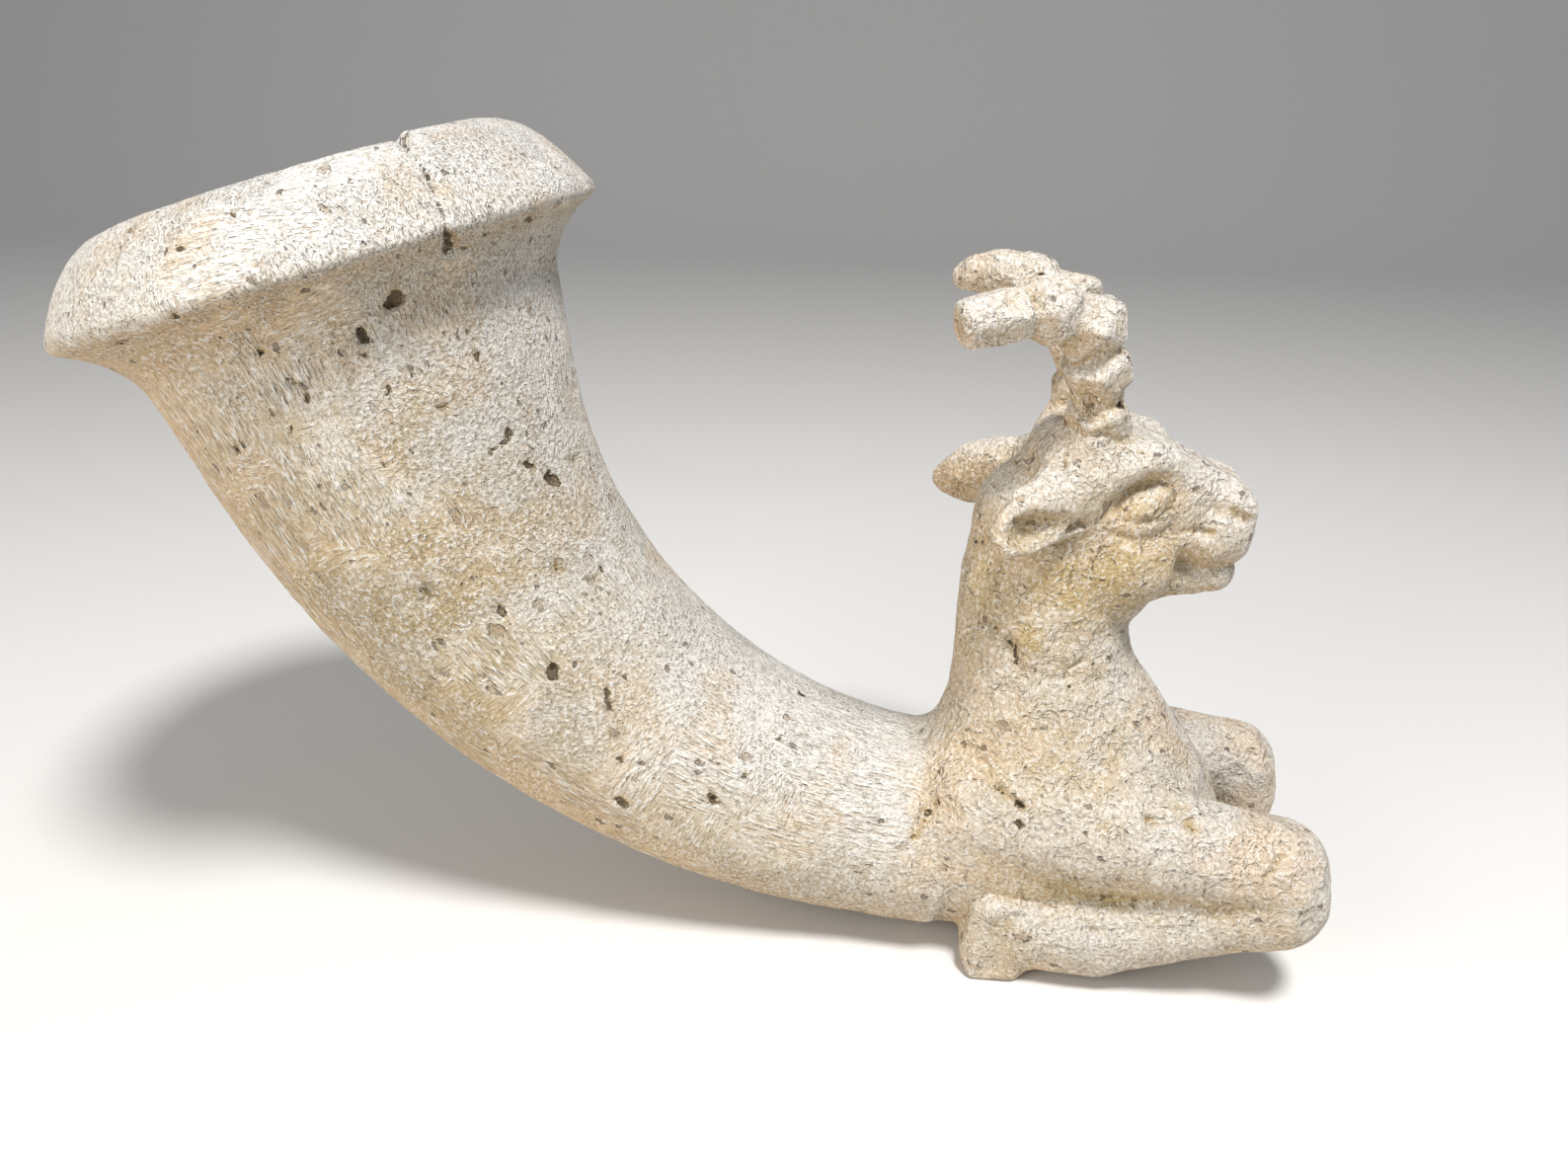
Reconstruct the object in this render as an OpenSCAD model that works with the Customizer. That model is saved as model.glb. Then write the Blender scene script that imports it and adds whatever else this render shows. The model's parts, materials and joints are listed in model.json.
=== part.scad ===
// A carved stone drinking horn that ends in the foreparts of a kneeling goat.
// X runs from the cup's lip to the animal's knees, Z is up, the hooves rest
// on Z = 0 and the animal's middle plane is Y = 0. Lengths are millimetres.

/* [Lip and mouth] */
// Radius of the lip at its widest edge
lip_radius = 35.2; // [34.4:0.1:36.4]
// Tilt of the lip plane, rising toward the animal, in degrees
lip_tilt = 17; // [14:0.5:20]
// Radius of the mouth at the top of the slanting rim face
mouth_radius = 25.2; // [24.8:0.1:26]
// Height of the slanting rim face above the lip
rim_rise = 10.4; // [9:0.1:12]
// Height of the flare from the cup wall out to the lip
flare_height = 9; // [7.5:0.1:10.5]
// Stone left between the outside of the cup and the drink
wall = 4; // [3:0.1:4.6]

/* [Broken rim fragment] */
// Direction of the near break, measured around the lip from the animal's side
break_near = -42; // [-55:1:-38]
// Direction of the hidden far break
break_far = 38; // [25:1:55]

/* [Cup] */
// Radius of the cup just under the flare
neck_radius = 26.9; // [26.6:0.1:27.8]
// Radius of the cup where it becomes the animal's body
body_radius = 14.4; // [14.2:0.1:15.1]
// Radius of the bend that carries the cup from upright to level
bend_radius = 84.6; // [80:0.5:88]
// Straight run of the cup below the lip
straight_run = 18.5; // [17:0.5:22]
// Downward slope of the cup where it meets the body, in degrees
body_slope = 5; // [3:0.5:7]
// Radius of the pouring channel
channel_radius = 2.5; // [2:0.1:3]

/* [Animal] */
// Height of the channel's axis above the rest plane
channel_height = 15.3; // [15.1:0.1:16.2]
// Reach of the bent knees forward of the cup's end
knee_reach = 55; // [52:0.5:58]
// Distance of each foreleg from the middle plane
leg_offset = 13.4; // [12.8:0.1:14]
// Height of the neck from the chest to the head
neck_height = 60.8; // [59:0.2:63]
// Distance of each horn's tip from the middle plane
horn_spread = 16; // [13:0.5:17]
// Thickness of the horns at their base
horn_thickness = 7.6; // [6.8:0.1:8.4]

/* [Hidden] */
ring_sides = 42;
blob_sides = 16;
cup_rings = 15;
cavity_rings = 11;
stone_pale = [0.86, 0.82, 0.73];
stone_warm = [0.80, 0.73, 0.61];
stone_white = [0.90, 0.88, 0.83];
stone_dark = [0.71, 0.62, 0.50];

bend_sweep = 90 - lip_tilt - body_slope;
bend_length = bend_radius * bend_sweep * PI / 180;
cup_length = bend_length + straight_run;
flare_start = cup_length - flare_height;
bend_centre = [bend_radius * sin(body_slope), channel_height + bend_radius * cos(body_slope)];
lip_centre = axis_point(cup_length);
frame_x = -(lip_centre[0] - lip_radius * cos(lip_tilt) + knee_reach) / 2;
head_z = neck_height + 4;
horn_root = [18.5, 5.6, neck_height + 15.5];

// Angle of the cup's axis above level, walking from the body to the lip.
function axis_angle(t) =
    180 - body_slope - min(t, bend_length) / bend_length * bend_sweep;

// Point on the cup's axis at the distance t from the body, in X and Z.
function axis_point(t) =
    let (s = min(t, bend_length),
         turn = body_slope + s / bend_length * bend_sweep,
         rest = t - s)
    [bend_centre[0] - bend_radius * sin(turn) - rest * cos(turn),
     bend_centre[1] - bend_radius * cos(turn) + rest * sin(turn)];

// Outer radius of the cup at the distance t from the body.
function cup_radius(t) =
    let (u = t / flare_start)
    body_radius + (neck_radius - body_radius) * (0.65 * u + 0.35 * u * u);

// Ring of points around a centre, square to a direction in the XZ plane.
function ring(centre, angle, half_y, half_n, sides = ring_sides) =
    [for (i = [0:sides - 1])
        let (a = 360 * i / sides)
        [centre[0] - half_n * sin(a) * sin(angle),
         half_y * cos(a),
         centre[1] + half_n * sin(a) * cos(angle)]];

function cup_ring(t, radius) = ring(axis_point(t), axis_angle(t) - 180, radius, radius);

module skin(rings, looped = false) {
    count = len(rings[0]);
    last = len(rings) - 1;
    sides = [for (j = [0:looped ? last : last - 1], i = [0:count - 1])
        let (a = j * count + i,
             b = j * count + (i + 1) % count,
             k = (j + 1) % len(rings),
             c = k * count + (i + 1) % count,
             d = k * count + i)
        each [[a, b, c], [a, c, d]]];
    caps = looped ? [] : [[for (i = [count - 1:-1:0]) i],
                          [for (i = [0:count - 1]) last * count + i]];
    polyhedron([for (r = rings) each r], concat(sides, caps), convexity = 8);
}

// An ellipsoid given as [centre, half sizes].
module blob(shape, sides = blob_sides) {
    translate(shape[0])
        scale(shape[1])
            sphere(1, $fn = sides);
}

// A limb: each ellipsoid is joined to the next one.
module limb(shapes, sides = blob_sides) {
    for (i = [0:len(shapes) - 2])
        hull() {
            blob(shapes[i], sides);
            blob(shapes[i + 1], sides);
        }
}

module mirrored(side) {
    scale([1, side, 1])
        children();
}

// Outer and inner surface of the cup in one skin, from the channel at the
// body up the outside, over the seam with the rim and down the inside.
module cup_horn() {
    outer = [for (i = [0:cup_rings])
        let (t = flare_start * i / cup_rings)
        cup_ring(t, cup_radius(t))];
    floor_t = 18;
    inner = [for (i = [0:cavity_rings - 1])
        let (u = 1 - i / cavity_rings,
             t = floor_t + (flare_start - floor_t) * u,
             thick = wall + 3 * (1 - u),
             full = cup_radius(t) - thick,
             round_end = sqrt(1 - pow(1 - min(1, u * 3.2), 2)))
        cup_ring(t, max(channel_radius, channel_radius + (full - channel_radius) * round_end))];
    channel = [cup_ring(floor_t, channel_radius), cup_ring(0, channel_radius)];
    color(stone_pale)
        translate([frame_x, 0, 0])
            skin(concat(outer, inner, channel), looped = true);
}

// Turned section of the rim in the lip's own frame: flare, edge, slanting
// face, mouth and the wall of the cavity.
module rim_section() {
    inner_low = cup_radius(flare_start) - wall;
    flare = cup_radius(flare_start);
    out = lip_radius - flare;
    drop = lip_radius - mouth_radius;
    polygon([
        [inner_low, -flare_height],
        [flare, -flare_height],
        [flare + out * 0.10, -flare_height * 0.74],
        [flare + out * 0.30, -flare_height * 0.48],
        [flare + out * 0.62, -flare_height * 0.23],
        [flare + out * 0.93, -flare_height * 0.07],
        [lip_radius, 0],
        [lip_radius - drop * 0.02, rim_rise * 0.07],
        [lip_radius - drop * 0.20, rim_rise * 0.36],
        [lip_radius - drop * 0.48, rim_rise * 0.69],
        [lip_radius - drop * 0.76, rim_rise * 0.91],
        [mouth_radius, rim_rise],
        [mouth_radius - 1.6, rim_rise - 0.6],
        [mouth_radius - 2.4, rim_rise - 3]
    ]);
}

module rim_turned(from, to) {
    translate([frame_x + lip_centre[0], 0, lip_centre[1]])
        rotate([0, -lip_tilt, 0])
            rotate([0, 0, from])
                rotate_extrude(angle = to - from, $fn = 96)
                    rim_section();
}

module rim_band() {
    color(stone_white)
        rim_turned(break_far, break_near + 360);
}

module rim_fragment() {
    color(stone_pale)
        rim_turned(break_near, break_far);
}

// The body between the cup and the forelegs, with the pouring channel.
module chest_form() {
    z = channel_height;
    reach = knee_reach - 12;
    skin([
        ring([reach, z + 1.5], 0, 5.0, 5.2),
        ring([reach - 2, z + 2.5], 0, 9.0, 9.0),
        ring([reach - 6, z + 3.6], 0, 12.0, 13.4),
        ring([reach - 12, z + 4.6], 0, 14.4, 17.6),
        ring([reach - 20, z + 4.6], 0, 15.6, 18.6),
        ring([reach - 29, z + 3.0], 0, 15.4, 17.0),
        ring([reach - 36, z + 2.0], 0, 15.0, 16.4),
        ring([0, z], -body_slope, body_radius, body_radius)
    ]);
}

module chest() {
    color(stone_pale)
        translate([frame_x, 0, 0])
            difference() {
                chest_form();
                translate([-6, 0, channel_height])
                    rotate([0, 90, 0])
                        cylinder(knee_reach, r = channel_radius, $fn = 64);
            }
}

module neck_form() {
    n = neck_height;
    z = channel_height;
    limb([
        [[19.4, 0, z + 12], [17.4, 13.5, 6]],
        [[19.4, 0, z + 17], [16.6, 13, 6]],
        [[18.6, 0, z + 21.5], [14.8, 12, 6]],
        [[17.2, 0, z + 25.5], [13.0, 11, 6]],
        [[16.2, 0, n - 16], [12.0, 10.3, 6]],
        [[15.6, 0, n - 11], [11.4, 9.8, 6]],
        [[15.6, 0, n - 6], [11.2, 9.5, 6]],
        [[16.2, 0, n - 2], [11.2, 9.2, 6]],
        [[17.5, 0, n + 3], [11.4, 9.0, 6]]
    ]);
}

module neck() {
    color(stone_warm)
        translate([frame_x, 0, 0])
            difference() {
                neck_form();
                chest_form();
                head_form();
            }
}

module head_form() {
    h = head_z;
    limb([
        [[15.4, 0, h - 0.4], [9.6, 8.6, 8.6]],
        [[18.8, 0, h + 2.4], [9.0, 9.2, 9.4]],
        [[23.0, 0, h + 2.4], [8.2, 8.8, 8.6]],
        [[28.0, 0, h + 1.6], [7.2, 7.1, 8.0]],
        [[32.2, 0, h + 0.4], [6.0, 5.7, 7.2]],
        [[35.6, 0, h - 0.8], [5.3, 5.0, 6.2]]
    ], 18);
    for (side = [-1, 1])
        mirrored(side)
            limb([
                [[13.4, 9.2, h + 4.8], [2.4, 1.9, 2.0]],
                [[17.4, 9.5, h + 6.1], [2.4, 2.0, 2.2]],
                [[21.6, 8.9, h + 7.3], [2.2, 1.9, 1.9]],
                [[25.4, 7.6, h + 8.5], [2.0, 1.7, 1.6]],
                [[28.2, 6.3, h + 8.0], [1.8, 1.6, 1.6]],
                [[30.0, 5.7, h + 5.4], [1.4, 1.4, 1.6]]
            ], 10);
    for (side = [-1, 1])
        mirrored(side)
            limb([
                [[33.6, 3.0, h + 4.4], [2.4, 2.0, 1.6]],
                [[37.2, 2.8, h + 3.2], [2.2, 2.1, 1.9]],
                [[39.0, 2.4, h + 1.2], [1.7, 2.2, 1.9]]
            ], 10);
    for (side = [-1, 1])
        mirrored(side)
            limb([
                [[32.8, 4.4, h - 2.4], [2.4, 1.6, 1.5]],
                [[36.2, 4.1, h - 3.0], [2.6, 1.8, 2.0]],
                [[38.6, 2.4, h - 3.0], [2.0, 2.2, 2.5]]
            ], 10);
}

module head() {
    color(stone_pale)
        translate([frame_x, 0, 0])
            head_form();
}

module jaw_form() {
    h = head_z;
    limb([
        [[17.0, 0, h - 6.0], [8.0, 8.4, 7.6]],
        [[21.4, 0, h - 9.0], [8.4, 7.4, 8.2]],
        [[26.0, 0, h - 7.4], [5.0, 6.0, 5.0]],
        [[30.0, 0, h - 7.6], [4.0, 5.0, 3.4]],
        [[33.5, 0, h - 8.0], [3.4, 4.2, 2.8]],
        [[37.0, 0, h - 8.2], [2.7, 3.6, 2.4]]
    ], 18);
}

module lower_jaw() {
    color(stone_warm)
        translate([frame_x, 0, 0])
            difference() {
                jaw_form();
                head_form();
                neck_form();
            }
}

// A knob of the horn, its long axis leaning from the level by an angle.
module knob(centre, along, across, lean, sides = 10) {
    translate(centre)
        rotate([0, -lean, 0])
            scale([along, across, across])
                sphere(1, $fn = sides);
}

// One horn: hand-cut knobs stacked on a core that sweeps back over the neck.
// The near tip is a blunt cut prism, the far one still has its point.
module horn_form(side) {
    r = horn_thickness / 2;
    spread = horn_spread - horn_root[1];
    knobs = [
        [0.3, 0.06, -1.0, 3.8, 1.05, 90],
        [0.3, 0.10, 2.2, 2.9, 1.08, 92],
        [-0.4, 0.20, 7.9, 3.5, 1.14, 98],
        [-2.0, 0.36, 13.2, 3.5, 1.12, 122],
        [-6.9, 0.55, 15.1, 3.7, 1.02, 172]
    ];
    function place(k) = [k[0], spread * k[1], k[2]];
    mirrored(side)
        translate(horn_root) {
            limb([for (k = knobs)
                [place(k), [r * 0.84, r * 0.84, r * 0.84]]], 10);
            for (k = knobs)
                knob(place(k), k[3], r * k[4], k[5]);
            if (side < 0)
                hull() {
                    knob([-10.6, spread * 0.72, 15.0], 3.0, r * 0.84, 190, 8);
                    knob([-14.6, spread * 0.90, 13.8], 2.4, r * 0.66, 200, 6);
                }
            else
                limb([
                    [[-8.3, spread * 0.62, 15.7], [2.6, r * 0.86, r * 0.86]],
                    [[-10.9, spread * 0.74, 15.9], [2.4, r * 0.76, r * 0.78]],
                    [[-14.3, spread * 0.90, 15.5], [1.8, r * 0.50, r * 0.52]],
                    [[-16.7, spread, 15.0], [0.8, r * 0.2, r * 0.2]]
                ], 10);
        }
}

module horn(side) {
    color(stone_pale)
        translate([frame_x, 0, 0])
            difference() {
                horn_form(side);
                head_form();
            }
}

module horn_right() {
    horn(-1);
}

module horn_left() {
    horn(1);
}

// The near ear, folded into a cup: a thick upper lobe, the blade behind the
// hollow and a thin lower rim that runs back to the cheek.
module near_ear_form() {
    h = head_z;
    mirrored(-1)
        difference() {
            union() {
                limb([
                    [[15.4, 9.0, h + 4.6], [3.0, 2.4, 2.6]],
                    [[12.2, 11.8, h + 4.2], [3.2, 2.1, 2.6]],
                    [[9.2, 14.0, h + 2.6], [2.4, 1.8, 2.1]],
                    [[7.4, 15.2, h + 0.8], [1.4, 1.3, 1.5]]
                ], 12);
                hull() {
                    blob([[15.4, 9.4, h + 1.6], [2.4, 1.9, 3.2]], 12);
                    blob([[9.6, 13.4, h + 1.0], [2.0, 1.7, 2.4]], 12);
                }
                limb([
                    [[7.4, 15.2, h + 0.4], [1.3, 1.2, 1.3]],
                    [[8.8, 15.0, h - 1.2], [1.2, 1.1, 1.2]],
                    [[12.4, 13.0, h - 0.9], [1.2, 1.1, 1.2]],
                    [[16.6, 10.2, h + 0.1], [1.3, 1.2, 1.3]]
                ], 10);
            }
            limb([
                [[15.4, 12.9, h + 2.1], [2.2, 1.5, 1.2]],
                [[12.0, 14.6, h + 1.5], [2.5, 1.8, 1.7]],
                [[9.4, 16.2, h + 0.6], [1.4, 1.2, 1.1]]
            ], 10);
        }
}

// The far ear, a smooth leaf with a shallow scoop.
module far_ear_form() {
    h = head_z;
    difference() {
        limb([
            [[15.0, 8.6, h + 2.8], [3.4, 2.6, 3.6]],
            [[10.0, 12.2, h + 1.2], [4.6, 2.3, 4.6]],
            [[5.6, 14.6, h - 0.6], [4.0, 1.9, 4.6]],
            [[2.2, 16.0, h - 1.8], [2.4, 1.3, 2.6]]
        ], 16);
        limb([
            [[15.0, 13.0, h + 2.2], [2.0, 1.8, 1.9]],
            [[9.6, 15.4, h + 1.0], [3.4, 2.3, 3.0]],
            [[4.6, 17.4, h - 0.8], [2.0, 1.3, 1.8]]
        ], 12);
    }
}

module ear_right() {
    color(stone_warm)
        translate([frame_x, 0, 0])
            difference() {
                near_ear_form();
                head_form();
                neck_form();
            }
}

module ear_left() {
    color(stone_warm)
        translate([frame_x, 0, 0])
            difference() {
                far_ear_form();
                head_form();
                neck_form();
            }
}

module eye(side) {
    color(stone_white)
        translate([frame_x, 0, 0])
            difference() {
                mirrored(side)
                    translate([25.7, 7.0, head_z + 3.4])
                        rotate([0, -28, -14])
                            scale([3.6, 3.0, 2.6])
                                sphere(1, $fn = 14);
                head_form();
            }
}

module eye_right() {
    eye(-1);
}

module eye_left() {
    eye(1);
}

module foreleg_form(side) {
    k = knee_reach;
    y = leg_offset;
    z = channel_height;
    mirrored(side) {
        limb([
            [[11, y - 4.6, z + 8.0], [9.0, 7.4, 9.0]],
            [[18, y - 3.2, z + 8.0], [9.0, 7.4, 9.0]],
            [[25, y - 2.0, z + 7.6], [8.0, 7.2, 8.4]],
            [[k - 23, y - 1.0, z + 7.0], [7.0, 6.9, 7.6]],
            [[k - 17, y - 0.4, z + 6.6], [6.6, 6.6, 7.0]],
            [[k - 11, y, z + 5.8], [6.4, 6.4, 6.8]],
            [[k - 7.2, y, z + 4.6], [6.2, 6.5, 7.0]],
            [[k - 6.0, y, z + 1.0], [6.0, 6.4, 7.6]]
        ], 14);
        hull() {
            blob([[k - 6.0, y, z + 1.0], [6.0, 6.4, 7.6]], 14);
            blob([[k - 10, y, z], [5.0, 5.6, 6.8]], 14);
        }
    }
}

module foreleg(side) {
    color(stone_pale)
        translate([frame_x, 0, 0])
            difference() {
                foreleg_form(side);
                chest_form();
                neck_form();
            }
}

module foreleg_right() {
    foreleg(-1);
}

module foreleg_left() {
    foreleg(1);
}

// The folded lower leg and its hoof, flat where it rests.
module hoof_form(side) {
    k = knee_reach;
    y = leg_offset;
    mirrored(side)
        difference() {
            union() {
                limb([
                    [[k - 9, y, 13.6], [5.0, 5.2, 5.2]],
                    [[k - 13, y, 12.2], [5.0, 5.0, 5.0]],
                    [[k - 18, y, 10.4], [5.0, 4.8, 4.9]],
                    [[k - 23, y - 0.2, 8.6], [5.0, 4.9, 5.1]],
                    [[26, y - 0.3, 6.8], [5.0, 5.2, 5.6]],
                    [[21, y - 0.4, 6.2], [4.6, 5.0, 5.4]],
                    [[18.4, y - 0.4, 6.2], [3.6, 4.6, 5.0]]
                ], 12);
                hull() {
                    blob([[17.5, y - 0.4, 5.4], [3.0, 5.2, 5.2]], 12);
                    translate([9.6, y - 0.4, 0])
                        linear_extrude(1, scale = [1.2, 1.3])
                            square([2.4, 5.6], center = true);
                    translate([7.8, y - 0.4, 3])
                        linear_extrude(7.4, scale = [1.2, 0.85])
                            square([1.6, 9.8], center = true);
                }
                hull() {
                    blob([[17.5, y - 0.4, 4.8], [3.0, 5.2, 5.0]], 12);
                    blob([[12.5, y - 0.4, 5.0], [4.0, 5.6, 5.4]], 12);
                }
            }
            translate([-20, -30, -20])
                cube([120, 100, 20]);
        }
}

module hoof(side) {
    color(stone_dark)
        translate([frame_x, 0, 0])
            difference() {
                hoof_form(side);
                foreleg_form(side);
                chest_form();
            }
}

module hoof_right() {
    hoof(-1);
}

module hoof_left() {
    hoof(1);
}

cup_horn();
rim_band();
rim_fragment();
chest();
neck();
head();
lower_jaw();
horn_right();
horn_left();
ear_right();
ear_left();
eye_right();
eye_left();
foreleg_right();
foreleg_left();
hoof_right();
hoof_left();
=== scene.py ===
import itertools
import json
from math import atan2, cos, pi, radians, sin, sqrt

import bmesh
import bpy
import numpy as np
import openvdb as vdb
from mathutils import Matrix, Vector


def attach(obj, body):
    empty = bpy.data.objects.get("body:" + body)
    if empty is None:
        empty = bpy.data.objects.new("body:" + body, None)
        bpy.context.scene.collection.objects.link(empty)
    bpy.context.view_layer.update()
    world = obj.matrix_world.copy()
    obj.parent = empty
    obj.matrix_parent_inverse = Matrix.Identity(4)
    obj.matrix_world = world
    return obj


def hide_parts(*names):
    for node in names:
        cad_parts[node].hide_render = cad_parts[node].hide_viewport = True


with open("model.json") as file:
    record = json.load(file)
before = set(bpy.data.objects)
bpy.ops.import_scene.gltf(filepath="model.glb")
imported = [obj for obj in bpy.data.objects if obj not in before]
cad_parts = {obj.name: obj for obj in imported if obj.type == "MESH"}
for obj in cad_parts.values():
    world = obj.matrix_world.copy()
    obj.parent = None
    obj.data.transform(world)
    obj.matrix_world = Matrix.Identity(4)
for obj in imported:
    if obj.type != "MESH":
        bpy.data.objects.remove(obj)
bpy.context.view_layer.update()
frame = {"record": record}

# A carved stone drinking horn that ends in the foreparts of a kneeling goat.
# The stone is shaped as one field of distances in millimetres, in the body's
# own frame: X = 0 is the seam of cup and body, the hooves rest on Z = 0 and
# Y = 0 is the animal's middle plane. Pieces are cut from it in metres.

# Driving sizes, as in the part
LIP_RADIUS = 35.2
LIP_TILT = radians(17)
MOUTH_RADIUS = 25.2
RIM_RISE = 10.4
FLARE_HEIGHT = 9.0
WALL = 4.0
BREAK_NEAR = radians(-42)
BREAK_FAR = radians(38)
NECK_RADIUS = 26.9
BODY_RADIUS = 14.4
BEND_RADIUS = 84.6
STRAIGHT_RUN = 18.5
BODY_SLOPE = radians(5)
CHANNEL_RADIUS = 2.5
CHANNEL_HEIGHT = 15.3
KNEE_REACH = 55.0
LEG_OFFSET = 13.4
NECK_HEIGHT = 60.8

# Derived sizes
BEND_SWEEP = pi / 2 - LIP_TILT - BODY_SLOPE
BEND_LENGTH = BEND_RADIUS * BEND_SWEEP
CUP_LENGTH = BEND_LENGTH + STRAIGHT_RUN
FLARE_START = CUP_LENGTH - FLARE_HEIGHT
CAVITY_END = 18.0
BEND_X = BEND_RADIUS * sin(BODY_SLOPE)
BEND_Z = CHANNEL_HEIGHT + BEND_RADIUS * cos(BODY_SLOPE)
HEAD = NECK_HEIGHT + 4.0
MILLIMETRE = 0.001

# Spacing of the field's samples for each part of the stone
CUP_STEP = 0.6
BODY_STEP = 0.42
HEAD_STEP = 0.32

# How far the rejoined fragment stands proud of the band at the mouth
FRAGMENT_LIFT = 0.7

# What a sample holds where no shape is near, and a least length that keeps divisions safe
FAR_AWAY = 9.0
TINY = 1e-6
RIGHT = -1
LEFT = 1
SIDE_NAMES = {RIGHT: "right", LEFT: "left"}


# The cup's axis

def axis_point(t):
    s = min(t, BEND_LENGTH)
    turn = BODY_SLOPE + s / BEND_LENGTH * BEND_SWEEP
    rest = t - s
    x = BEND_X - BEND_RADIUS * sin(turn) - rest * cos(turn)
    z = BEND_Z - BEND_RADIUS * cos(turn) + rest * sin(turn)
    return x, z


LIP_X, LIP_Z = axis_point(CUP_LENGTH)
FRAME_X = -(LIP_X - LIP_RADIUS * cos(LIP_TILT) + KNEE_REACH) / 2


def unbend(x, z):
    """Distance along the cup's axis and height under it, for points in the XZ plane."""
    turn = np.arctan2(BEND_X - x, BEND_Z - z)
    held = np.clip(turn, BODY_SLOPE, BODY_SLOPE + BEND_SWEEP)
    on_bend = np.abs(turn - held) < TINY
    start_x = BEND_X - BEND_RADIUS * np.sin(held)
    start_z = BEND_Z - BEND_RADIUS * np.cos(held)
    past = -(x - start_x) * np.cos(held) + (z - start_z) * np.sin(held)
    under_straight = -(x - start_x) * np.sin(held) - (z - start_z) * np.cos(held)
    under_bend = np.hypot(x - BEND_X, z - BEND_Z) - BEND_RADIUS
    t = (held - BODY_SLOPE) / BEND_SWEEP * BEND_LENGTH
    return np.where(on_bend, t, t + past), np.where(on_bend, under_bend, under_straight)


def cup_radius(t):
    u = np.clip(t / FLARE_START, 0, 1)
    return BODY_RADIUS + (NECK_RADIUS - BODY_RADIUS) * (0.65 * u + 0.35 * u * u)


# Random marks that are the same on every run

LATTICE_SIZE = 32
LATTICE = np.random.default_rng(11).random((LATTICE_SIZE,) * 3).astype(np.float32) * 2 - 1
SCATTER = np.random.default_rng(23).random((4096, 5)).astype(np.float32)
CORNERS = list(itertools.product((0, 1), repeat=3))


def corner_weight(f, corner):
    """What one corner of a cell counts at places given as shares of the cell."""
    weight = 1
    for axis, far in enumerate(corner):
        weight = weight * (f[:, axis] if far else 1 - f[:, axis])
    return weight


def noise(points, size, seed=0):
    """Smooth noise from -1 to 1 with bumps about as wide as size."""
    q = points / size + 57.3 + seed * 7.77
    cell = np.floor(q).astype(np.int64)
    f = (q - cell).astype(np.float32)
    f = f * f * (3 - 2 * f)
    total = np.zeros(len(points), np.float32)
    for corner in CORNERS:
        total += corner_weight(f, corner) * LATTICE[tuple(((cell + corner) % LATTICE_SIZE).T)]
    return total


def rough_noise(points, size, seed=0, octaves=3):
    total = 0
    for octave in range(octaves):
        total = total + noise(points, size / 2 ** octave, seed + octave) / 2 ** octave
    return total


def pit_gap(points, cell, share, least, most, seed=0):
    """Distance to the edge of the nearest scattered hollow, negative inside it."""
    base = np.floor(points / cell - 0.5).astype(np.int64)
    gap = np.full(len(points), 3.0, np.float32)
    for corner in CORNERS:
        at = base + corner
        code = (at[:, 0] * 73856093) ^ (at[:, 1] * 19349663) ^ (at[:, 2] * 83492791)
        row = SCATTER[(code + seed * 977) & 4095]
        centre = (at + row[:, :3]) * cell
        radius = least + (most - least) * row[:, 4] ** 2
        far = np.linalg.norm(points - centre, axis=1) - radius
        gap = np.where((row[:, 3] < share) & (far < gap), far, gap)
    return gap


def line_gap(points, lines):
    """Distance to the nearest of several lines, each a row of points and then a half width."""
    gap = np.full(len(points), 3.0)
    for *path, half in lines:
        path = np.array(path, float).reshape(-1, 3)
        near = np.all((points > path.min(0) - 3) & (points < path.max(0) + 3), axis=1)
        spots = points[near]
        least = gap[near]
        for a, b in zip(path[:-1], path[1:]):
            along = b - a
            u = np.clip((spots - a) @ along / (along @ along), 0, 1)
            far = np.linalg.norm(spots - a - u[:, None] * along, axis=1) - half
            least = np.minimum(least, far)
        gap[near] = least
    return gap


def smooth_step(value, low, high):
    u = np.clip((value - low) / (high - low), 0, 1)
    return u * u * (3 - 2 * u)


# Shapes as distances: each is a box that holds it and a function of X, Y and Z

def ellipsoid_distance(x, y, z, centre, sizes, power=2.0):
    """About the distance to an ellipsoid; a power above 2 makes it squarer."""
    px = (x - centre[0]) / sizes[0]
    py = (y - centre[1]) / sizes[1]
    pz = (z - centre[2]) / sizes[2]
    flat = np.sqrt(px * px + py * py + pz * pz) + TINY
    slope = np.sqrt((px / sizes[0]) ** 2 + (py / sizes[1]) ** 2 + (pz / sizes[2]) ** 2) + TINY
    near = flat
    if power != 2.0:
        near = (np.abs(px) ** power + np.abs(py) ** power + np.abs(pz) ** power) ** (1 / power) + TINY
    return (near - 1) * flat / slope


def blob(centre, sizes, power=2.0):
    centre = np.array(centre, float)
    sizes = np.array(sizes, float)

    def distance(x, y, z):
        return ellipsoid_distance(x, y, z, centre, sizes, power)

    return centre - sizes, centre + sizes, distance


def spin_matrix(turn):
    """The matrix of turns about X, Y and Z, in degrees."""
    spin = np.eye(3)
    for axis, angle in zip("XYZ", turn):
        spin = np.array(Matrix.Rotation(radians(angle), 3, axis)) @ spin
    return spin


def turned(x, y, z, centre, spin):
    """The places as seen from a centre along the axes of a turned shape."""
    px, py, pz = x - centre[0], y - centre[1], z - centre[2]
    return [px * spin[0, a] + py * spin[1, a] + pz * spin[2, a] for a in range(3)]


def turned_blob(centre, sizes, turn):
    centre = np.array(centre, float)
    spin = spin_matrix(turn)
    reach = np.abs(spin) @ np.array(sizes, float)

    def distance(x, y, z):
        return ellipsoid_distance(*turned(x, y, z, centre, spin), (0, 0, 0), sizes)

    return centre - reach * 1.2, centre + reach * 1.2, distance


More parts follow.
